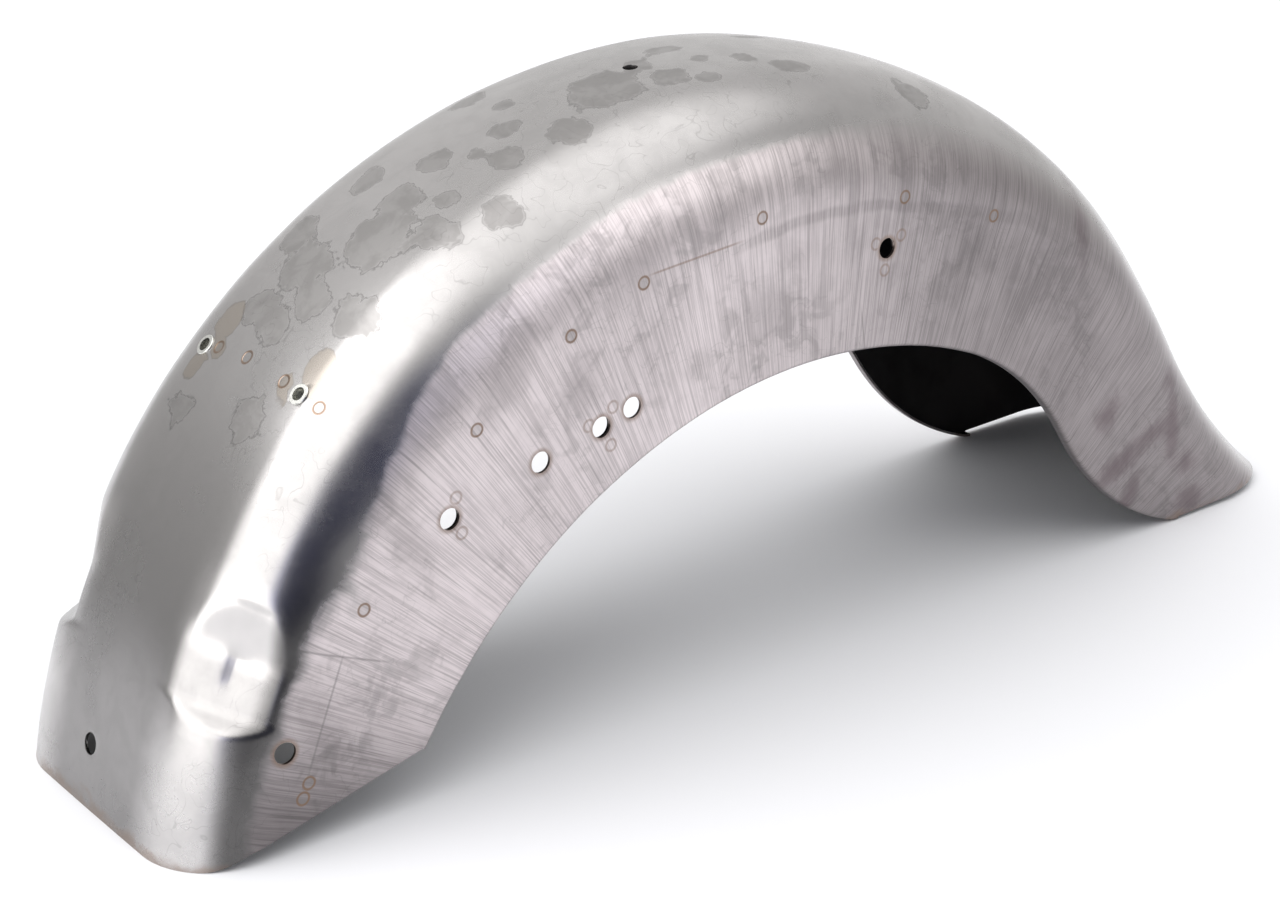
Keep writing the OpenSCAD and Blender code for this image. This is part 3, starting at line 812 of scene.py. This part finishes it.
# Dull patches of the crown as (station, across, half length, half width, turn in degrees,
# strength), in mm. The turn is from the crown line towards the right-hand side.
CROWN_PATCHES = [
    (440, -19, 22, 20, 8, 1.0), (470, -10, 9, 8, 20, 0.6), (472, -31, 12, 10, -10, 0.9),
    (404, -38, 11, 11, 10, 0.8), (386, -10, 11, 8, 0, 0.8), (402, 12, 8, 7, 0, 0.6),
    (352, 2, 11, 11, 10, 0.9), (366, -14, 5, 7, 0, 0.6), (371, -31, 9, 10, 20, 0.7),
    (325, -3, 15, 15, 6, 1.0), (336, -28, 7, 8, 0, 0.6), (301, -16, 21, 21, 10, 1.0),
    (318, -40, 11, 14, 0, 0.7), (276, 14, 17, 18, 24, 1.0), (262, -8, 13, 14, 0, 0.8),
    (248, 22, 13, 13, 0, 0.8), (266, -42, 14, 17, 0, 0.6), (345, -56, 11, 10, 20, 0.5),
    (243, 2, 14, 13, 0, 0.5), (494, 2, 14, 7, 0, 0.7), (500, -20, 7, 6, 0, 0.7),
    (520, -28, 8, 6, 10, 0.6), (540, -44, 12, 8, -10, 0.7), (488, -40, 9, 7, 0, 0.6),
    (610, -62, 11, 14, 60, 0.6), (560, 10, 13, 7, 0, 0.4), (330, 30, 13, 11, 0, 0.8),
    (290, 38, 14, 13, 0, 0.8), (400, 40, 13, 11, 0, 0.7), (200, -20, 14, 14, 0, 0.3),
    (190, 30, 13, 13, 0, 0.3), (585, 30, 14, 13, 0, 0.5), (640, 5, 16, 11, 0, 0.4),
    (700, -25, 13, 11, 0, 0.3), (760, 20, 16, 14, 0, 0.3), (830, -10, 14, 13, 0, 0.3),
]
# Smudges of the walls as (x, z, half length, half width, turn in degrees, strength), in mm.
WALL_SMUDGES = [
    (648, 64, 30, 7, -86, 0.9), (664, 36, 13, 9, 0, 0.8), (590, 84, 15, 10, 40, 0.5),
    (632, 63, 26, 7, 12, 0.6), (600, 48, 32, 9, 22, 0.7), (670, 12, 16, 10, 0, 1.0),
    (646, 92, 12, 10, 0, 0.8), (612, 24, 20, 7, 60, 0.6), (560, 205, 10, 26, 0, 0.5),
]
# Darker blurred places of the walls, given in the same way.
WALL_SHADES = [
    (384, 232, 7, 44, 0, 0.6), (374, 262, 10, 14, 0, 0.8), (330, 200, 20, 16, 20, 0.7),
    (302, 247, 28, 8, 30, 0.5), (250, 232, 22, 12, 40, 0.6), (216, 184, 14, 18, 0, 0.5),
    (176, 196, 26, 12, 50, 0.7), (120, 140, 12, 30, 20, 0.5), (420, 250, 10, 30, 0, 0.6),
    (470, 200, 14, 20, 0, 0.3), (520, 170, 20, 14, 0, 0.3), (70, 60, 10, 30, 20, 0.4),
]
# Tan stains beside the inserts, given as the crown's patches are.
INSERT_STAINS = [
    (234, -44, 13, 9, 30, 1.0), (222, -29, 6, 5, 0, 0.7), (214, -33, 5, 4, 0, 0.7),
    (236, 36, 12, 9, 10, 0.8), (210, 40, 9, 7, 0, 0.6), (222, 28, 6, 5, 0, 0.5),
]
# Spot welds of the side strap as (x, z), in mm.
STRAP_WELDS = [
    (60.5, 25.7), (63.9, 32.6), (95.8, 108.2), (158, 178.3), (210.6, 211.3),
    (252.7, 228.1), (324.9, 246.1), (419.3, 240), (485, 218.5),
]
# Weld marks round the strut holes as (x, z), in mm.
DOUBLER_WELDS = [
    (220.9, 165.2), (234.9, 171.3), (233.8, 152.6), (400.7, 219.1), (417.9, 220.6),
    (407.5, 204.3), (146, 148.7), (148.8, 130.8),
]
# Spot welds of the plate under the crown as (station, across), in mm.
CROWN_WELDS = [(222.8, 30.1), (224.7, 5.8), (222.9, -27.5), (220.2, -55.2)]
# Thin scratches on the walls as (x, z, x, z, width), in mm.
WALL_SCRATCHES = [(85, 92, 62, 32, 0.9), (55, 101, 110, 78, 0.8), (392, 189, 402, 131, 0.7)]
# A thin rusty scratch, given in the same way.
RUSTY_SCRATCH = (254, 231, 314, 237, 0.9)


def patch_field(points, spots):
    """How deep each point lies in the deepest patch: 1 in its middle, 0 at its border."""
    field = np.full(len(points), -2.0)
    for point, normal, tangent, long, wide, degrees, strength in spots:
        side = normal.cross(tangent)
        t = math.radians(degrees)
        along = np.array(tangent * math.cos(t) + side * math.sin(t))
        beside = np.array(side * math.cos(t) - tangent * math.sin(t))
        off = (points - np.array(point)) * 1000
        deep = np.array(normal) @ off.T / max(long, wide)
        far = np.sqrt((off @ along / long) ** 2 + (off @ beside / wide) ** 2 + deep**2)
        field = np.maximum(field, (1 - far) * (0.4 + 0.6 * strength))
    return field


def mark_the_sheet(form, mesh):
    """Stores the fields of the patches, smudges, shades and stains on the sheet's points."""
    points = np.empty(len(mesh.vertices) * 3)
    mesh.vertices.foreach_get("co", points)
    points = points.reshape(-1, 3)
    folded = points * np.array([1.0, -1.0, 1.0])
    folded[:, 1] = -np.abs(points[:, 1])

    def on_crown(rows):
        return [(*form.crown_place(s, y), *rest) for s, y, *rest in rows]

    def on_wall(rows):
        return [(*form.wall_place(x, z, -1), *rest) for x, z, *rest in rows]

    fields = {
        "dull_patch": patch_field(points, on_crown(CROWN_PATCHES)),
        "smudge": patch_field(folded, on_wall(WALL_SMUDGES)),
        "shade": patch_field(folded, on_wall(WALL_SHADES)),
        "stain": patch_field(points, on_crown(INSERT_STAINS)),
    }
    for name, field in fields.items():
        mesh.attributes.new(name, "FLOAT", "POINT").data.foreach_set("value", field)


# Materials

# Radius, in metres, at which the grinding lines have their true length.
GRINDING_RADIUS = 0.34
# Painted shade: colour of the table in its painted dark sectors.
PAINTED_TABLE_SHADE = (0.02, 0.02, 0.024)


class SheetPlaces:
    """Sockets that say where a point of the sheet lies, and the noises that its marks share.

    The angle is measured round the arch's centre: -1.3 at the nose, 0 at the top and 1.3 at the
    tail.
    """

    def __init__(self, tree, place, form):
        self.place = place
        split = tree.nodes.new("ShaderNodeSeparateXYZ")
        tree.links.new(place, split.inputs[0])
        x, y, self.z = split.outputs
        self.beside = maths(tree, "ABSOLUTE", y)
        self.folded = joined(tree, x, self.beside, self.z)
        past = minus(tree, x, (form.arch_x + form.shift) / 1000)
        over = plus(tree, self.z, form.arch_drop / 1000)
        self.angle = maths(tree, "ARCTAN2", past, over)
        self.far = maths(tree, "SQRT", plus(tree, times(tree, past, past), times(tree, over, over)))

        self.cloud = grains(tree, place, 11.0, 3.0, 0.6, 0.5)
        self.mottle = grains(tree, place, 62.0, 3.0, 0.62, 0.5)
        self.fine = grains(tree, place, 480.0, 1.0, 0.6)
        self.tone = plus(tree, times(tree, ramp(tree, self.cloud, 0.35, 0.65), 0.5),
                         times(tree, ramp(tree, self.mottle, 0.35, 0.7), 0.35))
        self.wave = plus(tree, swing(tree, self.mottle, 1.0), swing(tree, self.cloud, 0.7),
                         swing(tree, self.fine, 0.08))
        swept = joined(tree, times(tree, self.angle, GRINDING_RADIUS), self.far, y)
        brushing = brushing_group()
        self.radial = use_group(tree, brushing, place=swept, turn=(0, 0, 0.10),
                                stretch=(1100.0, 18.0, 24.0))
        self.slanted = use_group(tree, brushing, place=swept, turn=(0, 0, -0.5),
                                 stretch=(760.0, 15.0, 20.0))

        border = plus(tree, ramp(tree, self.angle, -0.82, -0.56, 0.0866, 0.0790),
                      swing(tree, self.mottle, 0.004))
        border = minus(tree, border, ramp(tree, self.angle, -0.1, 0.25, 0.0, 0.006))
        self.on_wall = ramp(tree, minus(tree, self.beside, border), -0.0010,
                            ramp(tree, self.angle, -0.1, 0.25, 0.0014, 0.0135))
        self.patch_depth = plus(tree, stored(tree, "dull_patch"), self.wave)
        self.patch = ramp(tree, self.patch_depth, 0.12, 0.22)


def plain_steel(tree, at, finish):
    """Colour of the crown and the walls, with the grinding streaks and smears of the walls."""
    crown = mixed(tree, at.tone, finish.steel, scaled(finish.steel, 0.80))
    wall = mixed(tree, at.tone, finish.wall_steel, scaled(finish.wall_steel, 0.78))
    streak = plus(tree, ramp(tree, at.radial, 0.44, 0.60),
                  times(tree, ramp(tree, at.slanted, 0.54, 0.62), 0.6))
    smear = times(tree, ramp(tree, at.mottle, 0.52, 0.62), ramp(tree, at.cloud, 0.42, 0.56),
                  ramp(tree, at.angle, 0.0, 0.4, 1.0, 0.5))
    return layered(tree, mixed(tree, at.on_wall, crown, wall), [
        (times(tree, at.on_wall, streak, 0.46), scaled(finish.wall_steel, 0.50)),
        (times(tree, at.on_wall, smear, 0.22), scaled(finish.patch, 0.52)),
    ])


def blotches(tree, at, finish):
    """Layers of the dull patches, the curls, the blurred shades, the smudges and the stains."""
    cloudy = ramp(tree, at.wave, -0.12, 0.12, 0.48, 0.70)
    patch_rim = band(tree, at.patch_depth, 0.13, 0.0, 0.045)
    curls = use_group(tree, thin_line_group(), place=at.place, stretch=(90.0, 90.0, 90.0),
                      line_width=0.012)
    smudge = ramp(tree, plus(tree, stored(tree, "smudge"), at.wave), -0.25, 0.75)
    shade = ramp(tree, plus(tree, stored(tree, "shade"), at.wave, swing(tree, at.radial, 0.8)),
                 -0.35, 0.7)
    stain_depth = plus(tree, stored(tree, "stain"), times(tree, at.wave, 0.6))
    stain = ramp(tree, stain_depth, 0.0, 0.1)
    stain_rim = band(tree, stain_depth, 0.03, 0.0, 0.07)
    return [
        (times(tree, at.patch, cloudy), finish.patch),
        (times(tree, patch_rim, 0.45), scaled(finish.patch, 0.55)),
        (times(tree, curls, ramp(tree, at.cloud, 0.42, 0.56), 0.26), scaled(finish.patch, 0.7)),
        (times(tree, shade, 0.5), scaled(finish.wall_steel, 0.5)),
        (times(tree, smudge, 0.6), finish.smudge),
        (times(tree, stain, 0.45), finish.tan_stain),
        (times(tree, stain_rim, 0.35), scaled(finish.tan_stain, 0.5)),
    ]


def painted_reflection_level(tree, at):
    """Painted light and shade: a factor on the steel's colour that stands in for its reflections.
    On the crown it is dark at the nose and light at the tail, with a painted highlight along the
    shoulder, a painted glint on the dent and a painted dark band below it; on the walls it is light
    towards the front and dark at the foot of the nose and at the lobes."""
    # The shoulder band that carries the painted highlight.
    shoulder = times(tree, ramp(tree, at.beside, 0.030, 0.058),
                     ramp(tree, at.beside, 0.076, 0.084, 1.0, 0.0))
    # Painted highlight: a glint on the dent's flat.
    painted_dent_glint = times(tree, ramp(tree, at.angle, -1.02, -0.99, 0.0, 0.45),
                       ramp(tree, at.angle, -0.95, -0.90, 1.0, 0.15))
    # Painted highlight along the shoulder, brightest at the nose end, with the dent's glint added.
    painted_shoulder_highlight = plus(tree, ramp(tree, at.angle, -1.15, -1.07, 1.18, 0.82), painted_dent_glint)
    # Painted shade: the dark band below the dent, standing for the reflection of the dark side of
    # the room.
    painted_dark_band = times(tree, ramp(tree, at.beside, 0.076, 0.084),
                       ramp(tree, at.angle, -0.95, -0.75, 0.52, 0.0))
    # Painted highlight: the crown grows lighter towards the tail.
    to_tail = ramp(tree, at.angle, -0.1, 0.3, 1.0, 1.38)
    # Painted shade: the crown is darker towards the nose.
    crown = mixed(tree, shoulder, ramp(tree, at.angle, -1.25, -0.45, 0.57, 1.0), painted_shoulder_highlight)
    crown = vector_maths(tree, "MULTIPLY", crown, to_tail)
    crown = vector_maths(tree, "MULTIPLY", crown, minus(tree, 1.0, painted_dark_band))
    # Painted light and shade on the walls: darker at the foot of the nose and at the lobes, lighter
    # between them.
    wall = times(tree, ramp(tree, at.angle, -1.2, -0.9, 0.47, 1.50),
                 ramp(tree, at.angle, -0.25, 0.4, 1.0, 0.46))
    return mixed(tree, at.on_wall, crown, wall)


def grinding_arc(tree, at):
    """The long arc that was ground over the welds of the side strap."""
    swath = times(tree, ramp(tree, at.angle, -0.22, -0.1),
                  ramp(tree, at.angle, 0.55, 0.75, 1.0, 0.0))
    arc = band(tree, plus(tree, at.far, swing(tree, at.cloud, 0.02)), 0.3565, 0.0012, 0.0045)
    return times(tree, arc, at.on_wall, swath, ramp(tree, at.radial, 0.3, 0.6, 0.3, 1.0))


def weld_marks(tree, at, form):
    """The dimples of the spot welds, and the thin rust round welds and holes and on the edge."""
    strap = nearest(tree, at.folded, form.wall_points(STRAP_WELDS))
    crown = nearest(tree, at.place, [form.crown_place(*row)[0] for row in CROWN_WELDS])
    doubler = nearest(tree, at.folded, form.wall_points(DOUBLER_WELDS))
    holes = nearest(tree, at.folded, form.wall_points(form.wall_holes().values()))
    hole = form.bolt_hole / 2000
    weld = plus(tree, maths(tree, "MINIMUM", strap, crown), swing(tree, at.mottle, 0.0012))
    rim = band(tree, weld, 0.0030, 0.0002, 0.0009)
    scar = band(tree, doubler, 0.0029, 0.0002, 0.0010)
    hole_rust = ramp(tree, holes, hole + 0.0002, hole + 0.0028, 1.0, 0.0)
    edge_rust = ramp(tree, plus(tree, at.z, swing(tree, at.mottle, 0.02)), 0.0, 0.007, 1.0, 0.0)
    rusty = times(tree, maths(tree, "MAXIMUM", rim, times(tree, scar, 0.55)), 0.8)
    for rust, strength in ((hole_rust, 0.55), (edge_rust, 0.5)):
        rusty = maths(tree, "MAXIMUM", rusty, times(tree, rust, strength))
    return ramp(tree, weld, 0.0024, 0.0032, 1.0, 0.0), rusty


def scratch(tree, at, form, row):
    """Where a thin straight scratch runs between two places on the wall."""
    start, end = form.wall_points([row[0:2], row[2:4]])
    width = row[4] / 1000
    heading = (end - start).normalized()
    beside = Vector((-heading.z, 0.0, heading.x))
    run = measured(tree, at.folded, heading)
    line = band(tree, measured(tree, at.folded, beside), beside.dot(start), width * 0.2, width)
    first, last = heading.dot(start), heading.dot(end)
    return times(tree, line, ramp(tree, run, first - 0.002, first + 0.010),
                 ramp(tree, run, last - 0.010, last + 0.002, 1.0, 0.0))


def steel_material(form, finish):
    """Bare sheet steel: satin crown, ground walls, dull patches, weld marks and thin rust, with
    painted highlights and painted shade in its colour.
    """
    material, tree, shader, place = new_material("raw_steel_outside", 1.0)
    at = SheetPlaces(tree, place, form)
    dimple, rusty = weld_marks(tree, at, form)
    base = layered(tree, plain_steel(tree, at, finish), blotches(tree, at, finish))
    # Painted light and shade: the colour is scaled by the painted reflection level.
    base = vector_maths(tree, "MULTIPLY", base, painted_reflection_level(tree, at))
    marks = [
        (times(tree, grinding_arc(tree, at), 0.42), scaled(finish.wall_steel, 0.4)),
        (times(tree, dimple, 0.25), finish.patch),
    ]
    for row in WALL_SCRATCHES:
        marks.append((times(tree, scratch(tree, at, form, row), 0.45), scaled(finish.patch, 0.7)))
    marks.append((times(tree, scratch(tree, at, form, RUSTY_SCRATCH), 0.5), finish.rust))
    marks.append((rusty, finish.rust))
    tree.links.new(layered(tree, base, marks), shader.inputs["Base Color"])

    rough = ramp(tree, at.on_wall, 0.0, 1.0, finish.crown_roughness, finish.wall_roughness, False)
    rough = plus(tree, rough, times(tree, at.tone, 0.08), times(tree, at.patch, 0.10),
                 swing(tree, at.fine, 0.04))
    tree.links.new(rough, shader.inputs["Roughness"])

    lines = plus(tree, at.radial, times(tree, at.slanted, 0.7))
    lines = times(tree, lines, ramp(tree, at.on_wall, 0.0, 1.0, 0.15, 1.2, False))
    height = plus(tree, lines, times(tree, at.fine, 0.05), times(tree, at.mottle, 0.08))
    height = minus(tree, height, times(tree, dimple, 4.0))
    bumped(tree, shader, height, 0.5, 0.00008)
    return material


def inside_material(name, tint, roughness):
    """Dull steel of the inside and of the welded plates, in a tint darkened with painted shade."""
    material, tree, shader, place = new_material(name, 1.0)
    shader.inputs["Specular Tint"].default_value = (0.15, 0.15, 0.15, 1.0)
    cloud = grains(tree, place, 16.0, 6.0, 0.6, 0.5)
    base = mixed(tree, ramp(tree, cloud, 0.35, 0.68), tint, scaled(tint, 0.6))
    tree.links.new(base, shader.inputs["Base Color"])
    tree.links.new(plus(tree, roughness, swing(tree, cloud, 0.3)), shader.inputs["Roughness"])
    bumped(tree, shader, grains(tree, place, 300.0, 3.0, 0.6), 0.4, 0.00005)
    return material


def zinc_material(finish):
    """Bright zinc of the threaded inserts, a little dulled in specks."""
    material, tree, shader, place = new_material("zinc_insert", 1.0)
    speck = grains(tree, place, 700.0, 3.0, 0.6)
    base = mixed(tree, ramp(tree, speck, 0.4, 0.7), finish.zinc, scaled(finish.zinc, 0.6))
    tree.links.new(base, shader.inputs["Base Color"])
    tree.links.new(ramp(tree, speck, 0.3, 0.7, 0.16, 0.36), shader.inputs["Roughness"])
    return material


def table_material(studio):
    """Smooth pale board with painted shade: white where the light falls, and painted grey towards
    the dark side of the room and past the nose."""
    material, tree, shader, place = new_material("table_board", 0.0)
    cloud = grains(tree, place, 1.5, 2.0)
    base = mixed(tree, cloud, studio.table, scaled(studio.table, 0.98))
    before_camera = measured(tree, place, (0.617, 0.787, 0))
    across_camera = measured(tree, place, (0.787, -0.617, 0))
    past_nose = measured(tree, place, (0.905, -0.425, 0))
    # Painted shade: darker sectors towards the dark side of the room and past the nose, which the
    # steel reflects.
    dark = times(tree, ramp(tree, before_camera, -0.75, -0.345, 1.0, 0.0),
                 ramp(tree, across_camera, -0.60, -0.25))
    painted_lit_share = times(tree, ramp(tree, dark, 0.0, 1.0, 1.0, 0.38, False),
                ramp(tree, past_nose, -2.0, -0.5, 0.55, 1.0))
    tree.links.new(mixed(tree, painted_lit_share, PAINTED_TABLE_SHADE, base), shader.inputs["Base Color"])
    shader.inputs["Roughness"].default_value = 0.6
    return material


# Studio

# Half the length of the table's sides, in metres.
TABLE_REACH = 4.0
# The softbox: its place, what it points at and its size, in metres.
SOFTBOX_PLACE = (-1.5, 0.9, 1.7)
SOFTBOX_AIM = (0.0, 0.0, 0.1)
SOFTBOX_SIZE = 1.2
# The camera that was fitted to the photograph: its place in metres, and its own three directions.
CAMERA_PLACE = (-0.80548, -0.91349, 0.57472)
CAMERA_RIGHT = Vector((0.77907, -0.62688, 0.00852))
CAMERA_UP = Vector((0.22937, 0.29766, 0.92671))
CAMERA_AHEAD = Vector((0.58347, 0.72002, -0.37569))
# Brightness of the room between the soft lobes.
ROOM_LEVEL = 0.62
# Soft lobes of the room as (azimuth, height, inner, outer, amount), in degrees.
PALE_WALL = (75, 30, 20, 70, 0.22)
FAR_CORNER = (125, -5, 15, 50, -0.22)
DARK_SIDE = (-114, 4, 26, 40, -0.55)
# Parts of the bright screen, given in the same way.
SCREEN_PARTS = [
    (180, 20, 26, 44, 1.0), (178, 52, 26, 42, 1.0), (-60, 80, 20, 42, 0.7), (-68, 28, 8, 22, 1.0),
]
# The bluish tint of the dark side, with its lobe as (azimuth, height, inner, outer).
ROOM_TINT = (1.0, 0.995, 0.99)
DARK_TINT = (0.72, 0.80, 1.5)
TINT_LOBE = (-112, 4, 20, 40)


def flat_table(material):
    """The table under the fender."""
    mesh = bpy.data.meshes.new("table")
    far = TABLE_REACH
    corners = [(-far, -far, 0), (far, -far, 0), (far, far, 0), (-far, far, 0)]
    mesh.from_pydata(corners, [], [(0, 1, 2, 3)])
    mesh.materials.append(material)
    return link("table", mesh)


def room_light(studio):
    """Studio room: a large bright screen behind the nose that reaches over the fender, pale
    walls, and darkness on the side where the camera stands."""
    world = bpy.data.worlds.new("studio_room")
    bpy.context.scene.world = world
    world.use_nodes = True
    tree = world.node_tree
    ground = tree.nodes["Background"]
    facing = tree.nodes.new("ShaderNodeTexCoord").outputs["Generated"]

    def lobe(azimuth, height, inner, outer, amount=1.0):
        a, h = math.radians(azimuth), math.radians(height)
        aim = (math.cos(h) * math.cos(a), math.cos(h) * math.sin(a), math.sin(h))
        near = ramp(tree, measured(tree, facing, aim), math.cos(math.radians(outer)),
                    math.cos(math.radians(inner)))
        return times(tree, near, amount)

    screen = 0.0
    for part in SCREEN_PARTS:
        screen = maths(tree, "MAXIMUM", screen, lobe(*part))
    level = plus(tree, ROOM_LEVEL, lobe(*PALE_WALL), lobe(*FAR_CORNER), lobe(*DARK_SIDE),
                 times(tree, screen, studio.screen))
    tint = mixed(tree, lobe(*TINT_LOBE), ROOM_TINT, DARK_TINT)
    tree.links.new(tint, ground.inputs["Color"])
    tree.links.new(times(tree, level, studio.sky), ground.inputs["Strength"])


def softbox(power):
    """The square softbox behind the nose."""
    light = bpy.data.lights.new("softbox_behind_the_nose", "AREA")
    light.shape = "RECTANGLE"
    light.size = SOFTBOX_SIZE
    light.size_y = SOFTBOX_SIZE
    light.energy = power
    lamp = bpy.data.objects.new(light.name, light)
    lamp.location = SOFTBOX_PLACE
    ahead = Vector(SOFTBOX_AIM) - Vector(SOFTBOX_PLACE)
    lamp.rotation_euler = ahead.to_track_quat("-Z", "Y").to_euler()
    bpy.context.scene.collection.objects.link(lamp)


def place_camera(studio):
    """The camera that was fitted to the photograph."""
    data = bpy.data.cameras.new("photo_camera")
    data.sensor_width = 36.0
    data.sensor_fit = "HORIZONTAL"
    data.lens = studio.lens
    camera = bpy.data.objects.new("photo_camera", data)
    turned = Matrix((CAMERA_RIGHT, CAMERA_UP, -CAMERA_AHEAD)).transposed().to_4x4()
    camera.matrix_world = Matrix.Translation(CAMERA_PLACE) @ turned
    bpy.context.scene.collection.objects.link(camera)
    bpy.context.scene.camera = camera


# Operators


class FENDER_OT_sheet(Operator):
    """Builds the pressed sheet with its dents, lip and holes"""

    bl_idname = "fender.sheet"
    bl_label = "Pressed sheet"

    def execute(self, context):
        form = FenderForm(context.scene.fender_sheet)
        finish = context.scene.fender_finish
        piece = link("pressed_sheet", sheet_mesh(form, "pressed_sheet"))
        piece.data.materials.append(steel_material(form, finish))
        # Painted shade: the inside of the sheet gets the darkened inner steel.
        inside = inside_material("raw_steel_inside", finish.inner_steel, 0.5)
        piece.data.materials.append(inside)
        cutter = link("hole_cutter", cutter_mesh(form, "hole_cutter"))
        cut = piece.modifiers.new("holes", "BOOLEAN")
        cut.operation = "DIFFERENCE"
        cut.solver = "EXACT"
        cut.object = cutter
        bevel = piece.modifiers.new("edges", "BEVEL")
        bevel.width = EDGE_ROUNDING
        bevel.segments = 2
        bevel.limit_method = "ANGLE"
        bevel.angle_limit = math.radians(ROUNDED_ABOVE)
        applied(piece)
        bpy.data.objects.remove(cutter)
        mark_the_sheet(form, piece.data)
        piece.data.shade_smooth()
        piece.data.set_sharp_from_angle(angle=math.radians(CREASED_ABOVE))
        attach(piece, "root")
        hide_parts("fender_shell")
        return {"FINISHED"}


class FENDER_OT_inner_pieces(Operator):
    """Gives the straps, doublers, plate and nut their dull steel, darkened with painted shade, and
    the inserts their zinc
    """

    bl_idname = "fender.inner_pieces"
    bl_label = "Welded pieces and inserts"

    def execute(self, context):
        finish = context.scene.fender_finish
        # Painted shade: the welded pieces inside get the darkened inner steel too.
        dull = inside_material("inner_plate_steel", scaled(finish.inner_steel, 1.15), 0.45)
        zinc = zinc_material(finish)
        for name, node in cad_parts.items():
            if name == "fender_shell":
                continue
            node.data.materials.clear()
            node.data.materials.append(zinc if name.startswith("crown_insert") else dull)
        return {"FINISHED"}


class FENDER_OT_studio(Operator):
    """Sets the table, the room, the softbox and the camera"""

    bl_idname = "fender.studio"
    bl_label = "Studio"

    def execute(self, context):
        studio = context.scene.fender_studio
        table = flat_table(table_material(studio))
        room_light(studio)
        softbox(studio.key)
        context.scene.view_settings.view_transform = "Standard"
        place_camera(studio)
        return {"FINISHED"}


class FENDER_PT_panel(Panel):
    """Lists the fender's steps and sizes"""

    bl_idname = "FENDER_PT_panel"
    bl_label = "Raw steel fender"
    bl_space_type = "VIEW_3D"
    bl_region_type = "UI"
    bl_category = "Fender"

    def draw(self, context):
        column = self.layout.column()
        for step in (FENDER_OT_sheet, FENDER_OT_inner_pieces, FENDER_OT_studio):
            column.operator(step.bl_idname, text=step.bl_label)
        for settings in ("fender_sheet", "fender_finish", "fender_studio"):
            group = getattr(context.scene, settings)
            box = self.layout.box()
            for name in group.bl_rna.properties.keys():
                if name not in {"rna_type", "name"}:
                    box.prop(group, name)


CLASSES = (
    FenderSheetSizes, FenderFinish, FenderStudio, FENDER_OT_sheet, FENDER_OT_inner_pieces,
    FENDER_OT_studio, FENDER_PT_panel,
)


def register():
    for cls in CLASSES:
        bpy.utils.register_class(cls)
    bpy.types.Scene.fender_sheet = PointerProperty(type=FenderSheetSizes)
    bpy.types.Scene.fender_finish = PointerProperty(type=FenderFinish)
    bpy.types.Scene.fender_studio = PointerProperty(type=FenderStudio)


def unregister():
    del bpy.types.Scene.fender_studio
    del bpy.types.Scene.fender_finish
    del bpy.types.Scene.fender_sheet
    for cls in reversed(CLASSES):
        bpy.utils.unregister_class(cls)


def main():
    register()
    bpy.ops.fender.sheet()
    bpy.ops.fender.inner_pieces()
    bpy.ops.fender.studio()


if __name__ == "__main__":
    main()
